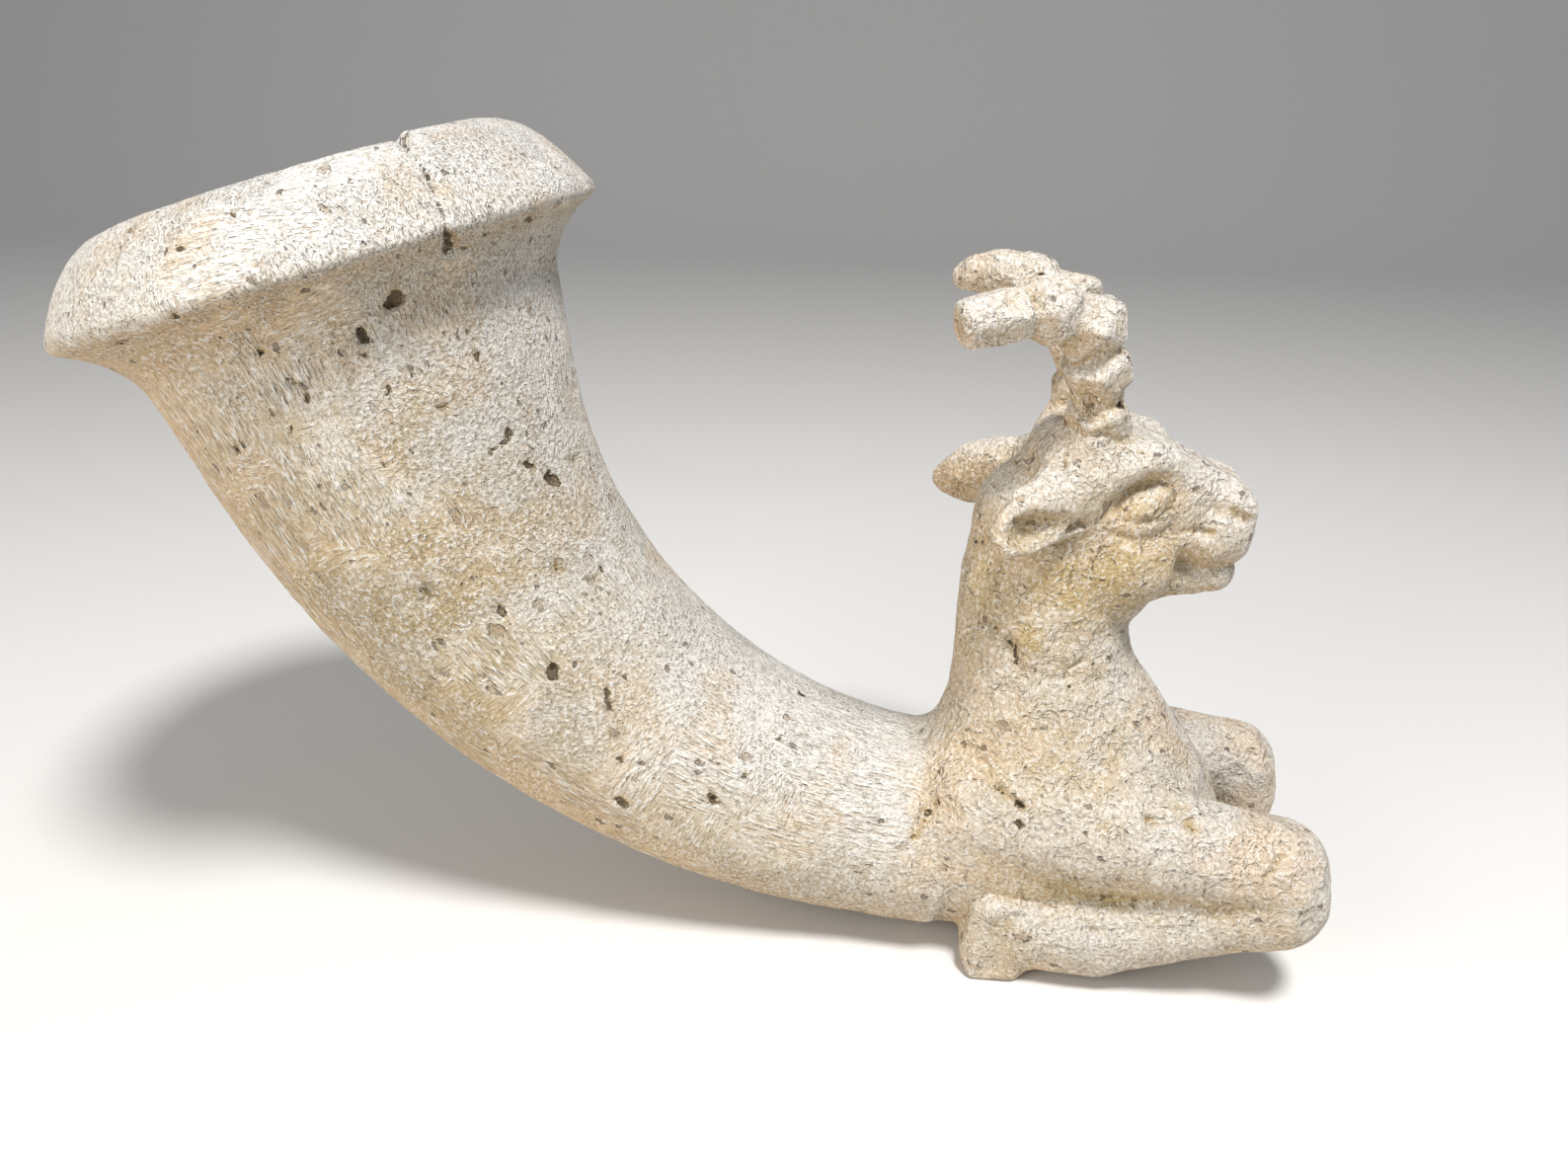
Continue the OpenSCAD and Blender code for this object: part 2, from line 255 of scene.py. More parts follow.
def cut_solid(centre, sizes, turn, cuts, hardness, room):
    """A solid with flat cuts, each a direction and how far out it lies."""
    centre = np.array(centre, float)
    spin = spin_matrix(turn)
    reach = max(sizes) * room

    def distance(x, y, z):
        places = [part / size for part, size in zip(turned(x, y, z, centre, spin), sizes)]
        total = 1e-9
        for direction, far in cuts:
            over = sum(place * share for place, share in zip(places, direction))
            total = total + (np.maximum(over, 0) / far) ** hardness
        return (total ** (1 / hardness) - 1) * min(sizes)

    return centre - reach, centre + reach, distance


def facets(centre, sizes, turn, seed):
    """A hand-cut knob with flat cuts spread evenly over an ellipsoid."""
    count = 13
    golden = pi * (3 - sqrt(5))
    cuts = []
    for i in range(count):
        up = 1 - 2 * (i + 0.5) / count
        flat = sqrt(1 - up * up)
        angle = golden * i + seed * 1.3
        cuts.append(((flat * cos(angle), flat * sin(angle), up), 1 / 1.06))
    return cut_solid(centre, sizes, turn, cuts, 32.0, 1.25)


def prism(centre, sizes, turn, sides, first, bevel):
    """A cut bar with flat sides and bevelled ends, its long axis on X before it is turned."""
    cuts = [((1, 0, 0), 1), ((-1, 0, 0), 1)]
    for i in range(sides):
        angle = 2 * pi * (i + first) / sides
        y, z = cos(angle), sin(angle)
        cuts.append(((0, y, z), 1))
        cuts.append(((0.71, y * 0.71, z * 0.71), bevel))
        cuts.append(((-0.71, y * 0.71, z * 0.71), bevel))
    return cut_solid(centre, sizes, turn, cuts, 30.0, 1.5)


def limb(keys, between=4, power=2.0):
    """A limb swept through ellipsoids, each row a centre and half sizes."""
    keys = np.array(keys, float)
    rows = []
    for a, b in zip(keys[:-1], keys[1:]):
        for i in range(between):
            rows.append(a + (b - a) * i / between)
    rows.append(keys[-1])

    def distance(x, y, z):
        result = np.inf
        for row in rows:
            result = np.minimum(result, ellipsoid_distance(x, y, z, row[:3], row[3:], power))
        return result

    return (keys[:, :3] - keys[:, 3:]).min(0), (keys[:, :3] + keys[:, 3:]).max(0), distance


def tube(points, radii):
    """A line of round cones through points, for ridges and grooves."""
    points = np.array(points, float)
    radii = np.broadcast_to(np.array(radii, float), len(points))

    def distance(x, y, z):
        result = np.inf
        for a, b, ra, rb in zip(points[:-1], points[1:], radii[:-1], radii[1:]):
            along = b - a
            px, py, pz = x - a[0], y - a[1], z - a[2]
            u = np.clip((px * along[0] + py * along[1] + pz * along[2]) / (along @ along), 0, 1)
            off = [p - u * step for p, step in zip((px, py, pz), along)]
            gap = np.sqrt(off[0] ** 2 + off[1] ** 2 + off[2] ** 2) - ra - (rb - ra) * u
            result = np.minimum(result, gap)
        return result

    most = radii.max()
    return points.min(0) - most, points.max(0) + most, distance


def mirror(shape, side):
    """The shape on the right or left; it is written for the left, where Y is positive."""
    low, high, inner = shape
    if side == LEFT:
        return shape

    def distance(x, y, z):
        return inner(x, -y, z)

    return np.array([low[0], -high[1], low[2]]), np.array([high[0], -low[1], high[2]]), distance


class Clay:
    """A block of sampled distances, negative inside the stone."""

    def __init__(self, low, high, step):
        self.low = np.array(low, float)
        self.step = step
        self.count = np.ceil((np.array(high) - self.low) / step).astype(int) + 1
        self.field = np.full(self.count, FAR_AWAY, np.float32)
        self.owners = {}

    def window(self, low, high, margin):
        """The samples around a box, with their X, Y and Z, or None outside the block."""
        first = np.floor((low - margin - self.low) / self.step).astype(int)
        last = np.ceil((high + margin - self.low) / self.step).astype(int) + 1
        first = np.clip(first, 0, self.count)
        last = np.clip(last, 0, self.count)
        if np.any(last - first < 2):
            return None
        ranges = [self.low[a] + self.step * np.arange(first[a], last[a]) for a in range(3)]
        x, y, z = np.ix_(*[r.astype(np.float32) for r in ranges])
        return tuple(slice(first[a], last[a]) for a in range(3)), x, y, z

    def blend_in(self, shape, blend, margin, sign):
        """Adds a shape to the stone with sign 1, or cuts it away with sign -1."""
        found = self.window(shape[0], shape[1], blend + margin)
        if found is None:
            return None
        where, x, y, z = found
        d = shape[2](x, y, z).astype(np.float32)
        old = self.field[where]
        soft = np.clip(0.5 + 0.5 * (sign * old - d) / blend, 0, 1)
        self.field[where] = old + (sign * d - old) * soft - sign * blend * soft * (1 - soft)
        return where, d

    def add(self, shape, blend, owner):
        found = self.blend_in(shape, blend, 2.5, 1)
        if found:
            where, d = found
            mine = self.owners.setdefault(owner, np.full(self.count, FAR_AWAY, np.float32))
            mine[where] = np.minimum(mine[where], d)

    def carve(self, shape, blend):
        self.blend_in(shape, blend, 1.0, -1)

    def sample(self, field, points):
        q = np.clip((points - self.low) / self.step, 0, self.count - 1.001)
        cell = np.floor(q).astype(int)
        total = 0
        for corner in CORNERS:
            total = total + corner_weight(q - cell, corner) * field[tuple((cell + corner).T)]
        return total

    def pairs(self, points, reach):
        """The samples a reach before and behind the points, along X, Y and Z."""
        for shift in np.eye(3) * reach:
            yield self.sample(self.field, points + shift), self.sample(self.field, points - shift)

    def slope(self, points, reach):
        normal = np.stack([ahead - behind for ahead, behind in self.pairs(points, reach)], 1)
        return normal / (np.linalg.norm(normal, axis=1, keepdims=True) + 1e-9)

    def curvature(self, points, reach):
        """Positive on edges and negative in creases, in one over millimetres."""
        total = -6 * self.sample(self.field, points)
        for ahead, behind in self.pairs(points, reach):
            total = total + ahead + behind
        return total / (reach * reach)

    def skin(self):
        grid = vdb.FloatGrid(FAR_AWAY)
        grid.copyFromArray(np.ascontiguousarray(self.field))
        points, quads = grid.convertToQuads(0.0)
        points = np.array(points, float) * self.step + self.low
        return points, np.array(quads, int)[:, ::-1]


# The cup as a turned section along its bent axis

# The section's samples: their spacing, where they start along the axis, and how many
TABLE_STEP = 0.2
TABLE_START = -6.0
TABLE_SIZE = (230, 740)


def cup_section():
    """Outline of the wall: distance from the axis, and distance along it."""
    top = CUP_LENGTH + RIM_RISE
    outline = [(CHANNEL_RADIUS, -4.0), (BODY_RADIUS, -4.0)]
    outline += [(cup_radius(t), t) for t in np.linspace(0, FLARE_START, 25)]
    for share, up in ((0.035, 0.86), (0.1, 0.72), (0.2, 0.58), (0.33, 0.44),
                      (0.5, 0.31), (0.7, 0.2), (0.9, 0.12), (0.985, 0.06)):
        outline.append((NECK_RADIUS + (LIP_RADIUS - NECK_RADIUS) * share, CUP_LENGTH - FLARE_HEIGHT * up))
    for share, up in ((0, 0), (0.012, 0.06), (0.06, 0.15), (0.2, 0.36), (0.34, 0.54), (0.48, 0.69),
                      (0.62, 0.81), (0.76, 0.91), (0.9, 0.975), (1.0, 1.0)):
        outline.append((LIP_RADIUS + (MOUTH_RADIUS - LIP_RADIUS) * share, CUP_LENGTH + RIM_RISE * up))
    outline += [(MOUTH_RADIUS - inward, top - down) for inward, down in ((1.2, 0.4), (2.1, 1.8), (2.4, 4))]
    for i in range(23):
        u = 1 - i / 23
        t = CAVITY_END + (FLARE_START - CAVITY_END) * u
        full = cup_radius(t) - WALL - 3 * (1 - u)
        end = sqrt(1 - (1 - min(1, u * 3.2)) ** 2)
        outline.append((CHANNEL_RADIUS + (full - CHANNEL_RADIUS) * end, t))
    outline.append((CHANNEL_RADIUS, CAVITY_END))
    return np.array(outline)


def section_table(outline):
    """Signed distances to a closed outline, sampled on a square grid."""
    r = (np.arange(TABLE_SIZE[0]) * TABLE_STEP).astype(np.float32)[:, None]
    t = (np.arange(TABLE_SIZE[1]) * TABLE_STEP + TABLE_START).astype(np.float32)[None, :]
    nearest = np.full(TABLE_SIZE, 1e9, np.float32)
    inside = np.zeros(TABLE_SIZE, bool)
    for a, b in zip(outline, np.roll(outline, -1, 0)):
        edge = b - a
        out, up = r - a[0], t - a[1]
        u = np.clip((out * edge[0] + up * edge[1]) / max(edge @ edge, 1e-9), 0, 1)
        nearest = np.minimum(nearest, (out - u * edge[0]) ** 2 + (up - u * edge[1]) ** 2)
        if edge[1]:
            crossed = (t >= min(a[1], b[1])) & (t < max(a[1], b[1]))
            inside ^= crossed & (out < up / edge[1] * edge[0])
    return np.sqrt(nearest) * np.where(inside, -1, 1)


def cup_shape():
    table = section_table(cup_section())

    def distance(x, y, z):
        t, under = unbend(x, z)
        rho = np.sqrt(y * y + under * under)
        i = np.clip(rho / TABLE_STEP, 0, TABLE_SIZE[0] - 1.001)
        j = np.clip((t - TABLE_START) / TABLE_STEP, 0, TABLE_SIZE[1] - 1.001)
        j = np.broadcast_to(j, rho.shape)
        i0 = i.astype(np.int32)
        j0 = j.astype(np.int32)
        fj = j - j0
        low = table[i0, j0] * (1 - fj) + table[i0, j0 + 1] * fj
        high = table[i0 + 1, j0] * (1 - fj) + table[i0 + 1, j0 + 1] * fj
        return low + (high - low) * (i - i0)

    return np.array([-113.0, -37.0, -1.0]), np.array([6.0, 37.0, 113.0]), distance


# The animal: rows are a centre and half sizes, for the left side where it has one

def chest_shape():
    """The body from the seam to the front between the knees, as ellipses along X."""
    middle = CHANNEL_HEIGHT
    reach = KNEE_REACH - 12
    rings = np.array([
        [-6, middle + 0.4, 14.0, 14.0],
        [0, middle, BODY_RADIUS, BODY_RADIUS],
        [reach - 36, middle + 2.0, 15.0, 16.4],
        [reach - 29, middle + 3.0, 15.4, 17.0],
        [reach - 20, middle + 4.6, 15.6, 18.6],
        [reach - 12, middle + 4.6, 14.4, 17.6],
        [reach - 6, middle + 3.6, 12.0, 13.4],
        [reach - 2, middle + 2.5, 9.0, 9.0],
        [reach, middle + 1.5, 5.0, 5.2]])

    def distance(x, y, z):
        middle, wide, tall = [
            np.interp(x[:, 0, 0], rings[:, 0], rings[:, column])[:, None, None] for column in (1, 2, 3)]
        qy = y / wide
        qz = (z - middle) / tall
        near = np.sqrt(qy * qy + qz * qz) + TINY
        slope = np.sqrt((qy / wide) ** 2 + (qz / tall) ** 2) + TINY
        side = near * (near - 1) / slope
        ends = np.maximum(x - reach, -5 - x)
        return np.maximum(side, ends)

    return np.array([-5.0, -16.0, 0.0]), np.array([reach, 16.0, 40.0]), distance


def channel_shape():
    return tube([(-8, 0, CHANNEL_HEIGHT), (KNEE_REACH, 0, CHANNEL_HEIGHT)], CHANNEL_RADIUS)


def neck_shape():
    n = NECK_HEIGHT
    z = CHANNEL_HEIGHT
    return limb([
        (19.4, 0, z + 12, 17.4, 13.5, 6), (19.4, 0, z + 17, 16.6, 13, 6),
        (18.6, 0, z + 21.5, 14.8, 12, 6), (17.2, 0, z + 25.5, 13.0, 11, 6),
        (16.2, 0, n - 16, 12.0, 10.3, 6), (15.6, 0, n - 11, 11.4, 9.8, 6),
        (15.6, 0, n - 6, 11.2, 9.5, 6), (16.2, 0, n - 2, 11.2, 9.2, 6),
        (17.5, 0, n + 3, 11.4, 9.0, 6)])


def foreleg_keys():
    y = LEG_OFFSET
    z = CHANNEL_HEIGHT
    knee = KNEE_REACH
    return [
        (11, y - 4.6, z + 8, 9, 7.4, 9), (18, y - 3.2, z + 8, 9, 7.4, 9),
        (25, y - 2, z + 7.6, 8, 7.2, 8.4), (32, y - 1, z + 7, 7, 6.9, 7.6),
        (38, y - 0.4, z + 6.6, 6.6, 6.6, 7), (44, y, z + 5.8, 6.4, 6.4, 6.8),
        (knee - 7.0, y, z + 5.0, 6.4, 6.5, 7), (knee - 5.8, y, z + 1, 6, 6.4, 7.8),
        (knee - 10, y, z, 5, 5.6, 6.8)]


def hoof_keys():
    y = LEG_OFFSET
    return [
        (46, y, 13.6, 5, 5.4, 5.4), (42, y, 12.8, 5, 5.3, 5.8),
        (37, y, 11.6, 5, 5.2, 6.2), (32, y - 0.2, 9.9, 5, 5.2, 6.6),
        (26, y - 0.3, 7.6, 5, 5.2, 6.6), (21, y - 0.4, 7.6, 4.6, 5, 6.6),
        (16.4, y - 0.4, 7.2, 3.6, 4.6, 6)]


def horn_knobs():
    """Knobs of one horn from its root: centre, half sizes along and across, lean in degrees."""
    return [
        ((18.8, 6.2, 75.4), (3.6, 4.0, 3.8), 90),
        ((18.8, 6.6, 78.3), (2.9, 4.2, 3.9), 92),
        ((18.1, 7.7, 84.2), (3.4, 4.5, 4.1), 98),
        ((16.5, 9.3, 89.6), (3.4, 4.3, 4.1), 122),
        ((11.6, 11.3, 91.4), (3.6, 3.9, 3.8), 172)]


def horn_tip(side):
    """The near horn ends in a blunt cut prism, the far one in a point."""
    if side == RIGHT:
        return [prism((5.1, 13.6, 90.7), (4.1, 3.0, 3.0), (10, -13, -14), 6, 0.35, 1.27)]
    return [limb([
        (10.2, 12.0, 92.0, 2.6, 3.3, 3.3), (7.6, 13.2, 92.4, 2.6, 2.9, 3.1),
        (4.4, 14.8, 92.0, 2.2, 2.2, 2.5), (2.2, 15.6, 91.3, 1.3, 1.2, 1.5)], 6, 3.0)]


def add_both(clay, parts):
    """Adds shapes with their blend and owner, all on the right first, then on the left."""
    for side in (RIGHT, LEFT):
        for shape, blend, owner in parts:
            clay.add(mirror(shape, side), blend, owner)


def add_horns(clay):
    for side in (RIGHT, LEFT):
        owner = "horn_" + SIDE_NAMES[side]
        knobs = horn_knobs()
        core = limb([(*knob[0], 3.1, 3.1, 3.1) for knob in knobs], 4)
        clay.add(mirror(core, side), 1.6, owner)
        root = limb([(17.4, 5.4, 70.8, 4.8, 4.8, 3.6), (18.1, 6.0, 75.2, 4.0, 4.2, 3.2)])
        clay.add(mirror(root, side), 2.0, "head")
        for number, (centre, sizes, lean) in enumerate(knobs):
            knob = facets(centre, sizes, (0, -lean, -20), number + 1)
            clay.add(mirror(knob, side), 0.25, owner)
        for shape in horn_tip(side):
            clay.add(mirror(shape, side), 0.5, owner)


def add_ears(clay):
    clay.add(mirror(limb([
        (17.6, 8.8, 68.8, 3.4, 2.0, 3.2), (13.8, 11.2, 68.2, 3.8, 2.0, 3.8),
        (10.8, 13.2, 67.0, 3.2, 2.0, 3.9),
        (8.9, 14.6, 65.4, 2.3, 1.6, 2.9)], 6), RIGHT), 1.6, "ear_right")
    clay.add(mirror(limb([
        (8.9, 14.9, 63.8, 1.6, 1.2, 1.4), (11.4, 13.2, 63.9, 2.2, 1.3, 1.3),
        (14.6, 10.6, 64.9, 2.6, 1.4, 1.2),
        (18.0, 7.8, 65.8, 2.6, 1.2, 1.0)], 5), RIGHT), 1.4, "ear_right")
    clay.add(limb([
        (15.0, 8.6, 67.6, 3.4, 2.6, 3.6), (10.0, 12.2, 66.0, 4.6, 2.3, 4.6),
        (5.6, 14.6, 64.2, 4.0, 1.9, 4.6), (2.2, 16.0, 63.0, 2.4, 1.3, 2.6)], 6), 1.4, "ear_left")


def carve_ears(clay):
    clay.carve(mirror(limb([
        (15.2, 13.9, 66.4, 2.4, 1.6, 1.3), (12.2, 15.3, 65.9, 2.8, 2.6, 2.5),
        (10.2, 16.6, 65.8, 1.8, 2.1, 1.9)], 6), RIGHT), 1.5)
    clay.carve(limb([
        (15.0, 13.0, 67.0, 2.0, 1.8, 1.9), (9.6, 15.4, 65.8, 3.4, 2.3, 3.0),
        (4.6, 17.4, 64.0, 2.0, 1.3, 1.8)], 6), 0.8)


def add_head(clay):
    h = HEAD
    skull = limb([
        (15.4, 0, h - 1.0, 9.2, 8.6, 8.2), (18.8, 0, h + 2.1, 8.4, 9.0, 9.2),
        (23.0, 0, h + 2.4, 8.2, 8.6, 8.6), (28.0, 0, h + 1.6, 7.2, 6.9, 7.9),
        (32.2, 0, h + 0.4, 6.0, 5.4, 6.9), (35.4, 0, h - 0.6, 4.9, 4.4, 5.9)], 5)
    clay.add(skull, 3.0, "head")
    clay.add(blob((15.6, 0, 72.6), (3.6, 5.0, 4.0)), 2.5, "head")
    jaw = limb([
        (17.0, 0, h - 6.0, 8.0, 8.4, 7.6), (21.8, 0, h - 9.2, 8.4, 7.4, 8.2),
        (26.0, 0, h - 8.2, 5.0, 6.2, 5.4), (30.0, 0, h - 8.0, 4.0, 5.0, 3.8),
        (33.5, 0, h - 8.0, 3.4, 4.2, 3.2), (37.0, 0, h - 7.6, 2.8, 3.8, 3.0)], 5)
    clay.add(jaw, 1.4, "lower_jaw")
    add_both(clay, [
        (blob((23.8, 6.0, 59.4), (7.0, 3.4, 5.6)), 2.0, "lower_jaw"),
        (blob((21.0, 5.4, 73.2), (7.4, 3.8, 3.0)), 2.5, "head"),
        (blob((34.8, 3.7, 65.2), (4.6, 2.3, 3.4)), 2.5, "head"),
        (limb([
            (14.4, 9.2, 69.8, 3.0, 1.7, 2.4), (18.0, 9.2, 70.9, 3.2, 1.8, 2.2),
            (21.8, 8.6, 72.3, 3.0, 1.7, 1.8), (25.2, 7.4, 73.4, 2.6, 1.6, 1.5),
            (27.8, 6.2, 73.0, 2.0, 1.5, 1.6), (29.4, 5.5, 70.8, 1.6, 1.3, 1.8),
            (30.4, 5.2, 68.2, 1.4, 1.0, 1.6)], 5), 3.0, "head"),
        (limb([
            (32.6, 2.8, h + 4.9, 2.6, 2.0, 1.8), (36.4, 2.6, h + 3.8, 2.4, 2.2, 2.1),
            (38.8, 2.4, h + 1.6, 1.9, 2.3, 2.2)], 5), 2.4, "head"),
        (limb([
            (31.6, 4.4, h - 1.9, 2.8, 1.8, 2.0), (35.4, 4.1, h - 2.6, 3.2, 2.0, 2.9),
            (38.3, 2.6, h - 2.7, 2.2, 2.3, 3.1)], 5), 2.0, "head")])
    clay.add(blob((38.9, 0, h - 0.6), (2.0, 3.0, 4.2)), 1.4, "head")


def add_eyes(clay):
    for side in (RIGHT, LEFT):
        socket = turned_blob((25.6, 10.2, 68.8), (4.8, 2.8, 2.8), (0, -26, -14))
        clay.carve(mirror(socket, side), 0.9)
        lid = tube([(21.4, 8.8, 66.4), (22.9, 8.7, 65.4), (25.2, 8.4, 65.0), (27.7, 7.5, 65.6),
                    (29.3, 6.5, 67.0), (29.9, 5.9, 68.8)], [0.5, 0.85, 1.0, 0.95, 0.8, 0.5])
        clay.add(mirror(lid, side), 0.7, "head")
        groove = turned_blob((25.2, 9.3, 68.6), (4.1, 2.2, 2.4), (0, -26, -14))
        clay.carve(mirror(groove, side), 0.35)
        ball = turned_blob((25.5, 6.9, 67.8), (3.7, 2.8, 2.25), (0, -26, -14))
        clay.add(mirror(ball, side), 0.15, "eye_" + SIDE_NAMES[side])


def carve_face(clay):
    cheek = tube([(34.6, 6.4, 67.0), (37.0, 5.6, 66.6), (39.4, 4.6, 65.6)], [0.2, 0.3, 0.15])
    fold = tube([(29.6, 7.4, 63.8), (32.0, 6.6, 64.2), (34.6, 6.2, 64.0)], [0.3, 0.4, 0.3])
    nostril = tube([(38.6, 4.6, 65.2), (40.4, 3.2, 64.2)], [0.15, 0.2])
    mouth = tube([(32.0, 6.4, 58.6), (32.6, 6.2, 59.3), (33.8, 5.6, 59.8), (35.8, 5.3, 59.4),
                  (38.0, 4.2, 58.8), (39.6, 2.0, 58.6), (40.2, 0, 58.6)],
                 [0.25, 0.35, 0.4, 0.35, 0.35, 0.35, 0.35])
    lip_notch = tube([(37.2, 4.4, 58.8), (37.0, 4.2, 56.4)], [0.2, 0.25])
    for side in (RIGHT, LEFT):
        for groove, blend in ((cheek, 1.2), (fold, 0.8), (nostril, 0.6), (mouth, 0.45),
                              (lip_notch, 0.35)):
            clay.carve(mirror(groove, side), blend)


def add_legs(clay):
    for side in (RIGHT, LEFT):
        clay.add(mirror(limb(foreleg_keys(), 4), side), 1.8, "foreleg_" + SIDE_NAMES[side])
    for side in (RIGHT, LEFT):
        owner = "hoof_" + SIDE_NAMES[side]
        clay.add(mirror(limb(hoof_keys(), 4), side), 1.3, owner)
        block = prism((12.8, LEG_OFFSET - 0.9, 6.2), (4.7, 4.1, 6.8), (0, 9, 0), 4, 0, 1.16)
        clay.add(mirror(block, side), 1.5, owner)


def ground_shape():
    """All that lies under the rest plane, to cut the hooves flat."""
    return (np.array([-5.0, -40.0, -9.0]), np.array([70.0, 40.0, 0.0]),
            lambda x, y, z: z + 0 * x + 0 * y)


def shape_stone(clay):
    clay.add(cup_shape(), 0.01, "cup")
    clay.add(chest_shape(), 1.6, "chest")
    clay.add(neck_shape(), 4.0, "neck")
    add_legs(clay)
    add_head(clay)
    add_ears(clay)
    add_horns(clay)
    carve_ears(clay)
    add_eyes(clay)
    carve_face(clay)
    clay.carve(channel_shape(), 0.3)
    clay.carve(ground_shape(), 0.3)


# Marks of age and tools on the surface

def wander(points, size, amount, seed):
    shift = np.stack([noise(points, size, seed + 31 * a) for a in range(3)], 1)
    return points + shift * amount


def cup_places(points):
    """Along the cup and under its axis, then level with the lip and around its axis."""
    x, y, z = points.T
    t, under = unbend(x, z)
    on_head = (z > 40) & (x > -10)
    height = z - CHANNEL_HEIGHT
    t = np.where(on_head, height * sin(BODY_SLOPE) - x * cos(BODY_SLOPE), t)
    under = np.where(on_head, -x * sin(BODY_SLOPE) - height * cos(BODY_SLOPE), under)
    level = (x - LIP_X) * cos(LIP_TILT) + (z - LIP_Z) * sin(LIP_TILT)
    return t, under, level, np.arctan2(y, level)


def crack_gap(points, angle, seed):
    """Signed distance in millimetres from the wandering line of a break."""
    t, _, level, turn = cup_places(points)
    rho = np.hypot(level, points[:, 1])
    lean = -0.27 * np.maximum(t - CUP_LENGTH, 0) - 0.9 * np.maximum(CUP_LENGTH - 1.2 - t, 0)
    ragged = 0.45 * noise(points, 5.0, seed) + 0.3 * noise(points, 1.8, seed + 1)
    gap = rho * np.sin(turn - angle) + lean + ragged
    return np.where(np.cos(turn - angle) > 0, gap, 99.0)


def warm_places(points):
    """How ochre the stone is stained, from rows of a centre, half sizes and an amount."""
    places = [
        (-62, -22, 50, 26, 20, 30, 0.85), (-30, -20, 18, 26, 16, 16, 0.45), (14, -10, 54, 11, 9, 10, 1.5),
        (24, -8, 58, 9, 6, 7, 1.3), (24, -9, 68, 6, 5, 4, 0.85), (12, -14, 66, 5, 4, 4, 0.9),
        (19, -8, 79, 4, 5, 7, 0.6), (16, -13, 34, 16, 8, 8, 0.7), (27, -15, 16, 20, 6, 3.4, 1.2),
        (12, -18, 5, 7, 6, 6, 0.45), (18, -7, 84, 5, 5, 10, 0.35)]
    total = np.zeros(len(points))
    for *place, amount in places:
        centre, sizes = np.array(place).reshape(2, 3)
        for side in (RIGHT, LEFT):
            shift = points - centre * (1, -side, 1)
            total = np.maximum(total, amount * np.exp(-((shift / sizes) ** 2).sum(1)))
    return total


# Pits and scratches of the near side: the points of each, then its half width
NAMED_PITS = [
    (-60.9, -22.4, 92.4, -61.2, -22.8, 91.2, 0.95), (-64.7, -24.1, 88.4, -64.4, -24.0, 87.8, 0.75),
    (-54.0, -16.2, 73.2, -53.2, -15.4, 73.3, -52.4, -14.3, 74.0, -52.2, -13.6, 75.2, 0.42),
    (-48.8, -10.4, 68.5, -48.0, -9.6, 67.6, 0.75), (-50.9, -12.9, 71.1, -50.5, -12.3, 70.6, 0.5),
    (-54.3, -22.5, 99.0, -54.8, -21.6, 98.2, 0.6), (-55.1, -20.8, 97.4, -55.4, -20.4, 97.1, 0.65),
    (-54.2, -18.8, 97.3, -54.0, -18.4, 97.2, 0.55), (-52.4, -17.6, 98.6, -52.1, -17.0, 98.9, 0.55),
    (-54.9, -15.7, 84.8, -54.8, -15.6, 84.3, 0.45), (-75.0, -27.4, 86.4, -74.8, -27.4, 85.6, 0.5),
    (-72.9, -26.6, 83.4, -72.0, -26.3, 83.1, 0.45), (-71.2, -25.9, 81.3, -71.1, -25.9, 80.9, 0.5),
    (-63.1, -23.0, 81.9, -63.0, -22.9, 81.5, 0.5), (-53.2, -19.6, 53.8, -52.8, -19.4, 53.3, 0.6),
    (-47.4, -18.7, 45.2, -47.5, -18.7, 44.5, 0.85), (-40.7, -16.8, 41.9, -40.2, -17.4, 39.5, 0.5),
    (-39.1, -18.1, 32.3, -39.1, -18.1, 31.9, 0.65), (-39.4, -17.8, 26.0, -38.6, -17.6, 25.0, 0.8),
    (-27.2, -16.5, 26.6, -27.1, -16.5, 26.2, 0.7), (19.1, -10.6, 43.6, 19.3, -10.6, 43.4, 0.5),
    (13.4, -16.6, 26.4, 13.8, -16.6, 26.0, 0.45), (13.2, -15.6, 28.8, 13.7, -15.8, 28.3, 0.45),
    (24.0, -17.0, 26.8, 24.4, -17.0, 26.6, 0.3), (17.0, -13.0, 84.9, 17.1, -13.1, 84.5, 0.3),
    (9.8, -16.4, 92.7, 10.0, -16.4, 92.5, 0.25)]
# Shallow gouges and chips with ochre floors
NAMED_DENTS = [
    (10.8, -9.0, 48.8, 11.2, -9.2, 47.0, 11.7, -9.5, 45.6, 0.9),
    (18.2, -10.4, 44.8, 18.4, -10.2, 46.0, 20.2, -9.6, 46.8, 0.35),
    (8.7, -10.9, 31.6, 10.4, -13.8, 30.0, 13.9, -15.9, 28.2, 0.7),
    (2.9, -11.2, 25.8, 1.1, -12.4, 22.9, 0.0, -13.6, 20.6, 0.8),
    (29.9, -16.8, 28.6, 30.4, -16.8, 28.1, 0.6), (34.8, -16.6, 28.4, 35.4, -16.9, 27.6, 0.8),
    (46.3, -18.3, 25.2, 45.6, -18.9, 24.2, 45.0, -19.4, 23.0, 0.45),
    (24.6, -17.0, 10.8, 25.8, -17.0, 10.2, 0.7),
    (34.0, -17.6, 7.6, 35.4, -17.6, 8.6, 35.8, -17.6, 10.4, 0.4),
    (-47.6, -13.6, 57.4, -46.6, -12.4, 56.4, 1.3), (-61.6, -22.2, 57.2, -61.2, -22.2, 55.9, 0.9),
    (-58.0, -20.6, 79.0, -57.2, -20.0, 79.2, 0.7), (-25.4, -13.2, 31.2, -24.6, -12.6, 32.0, 0.6)]
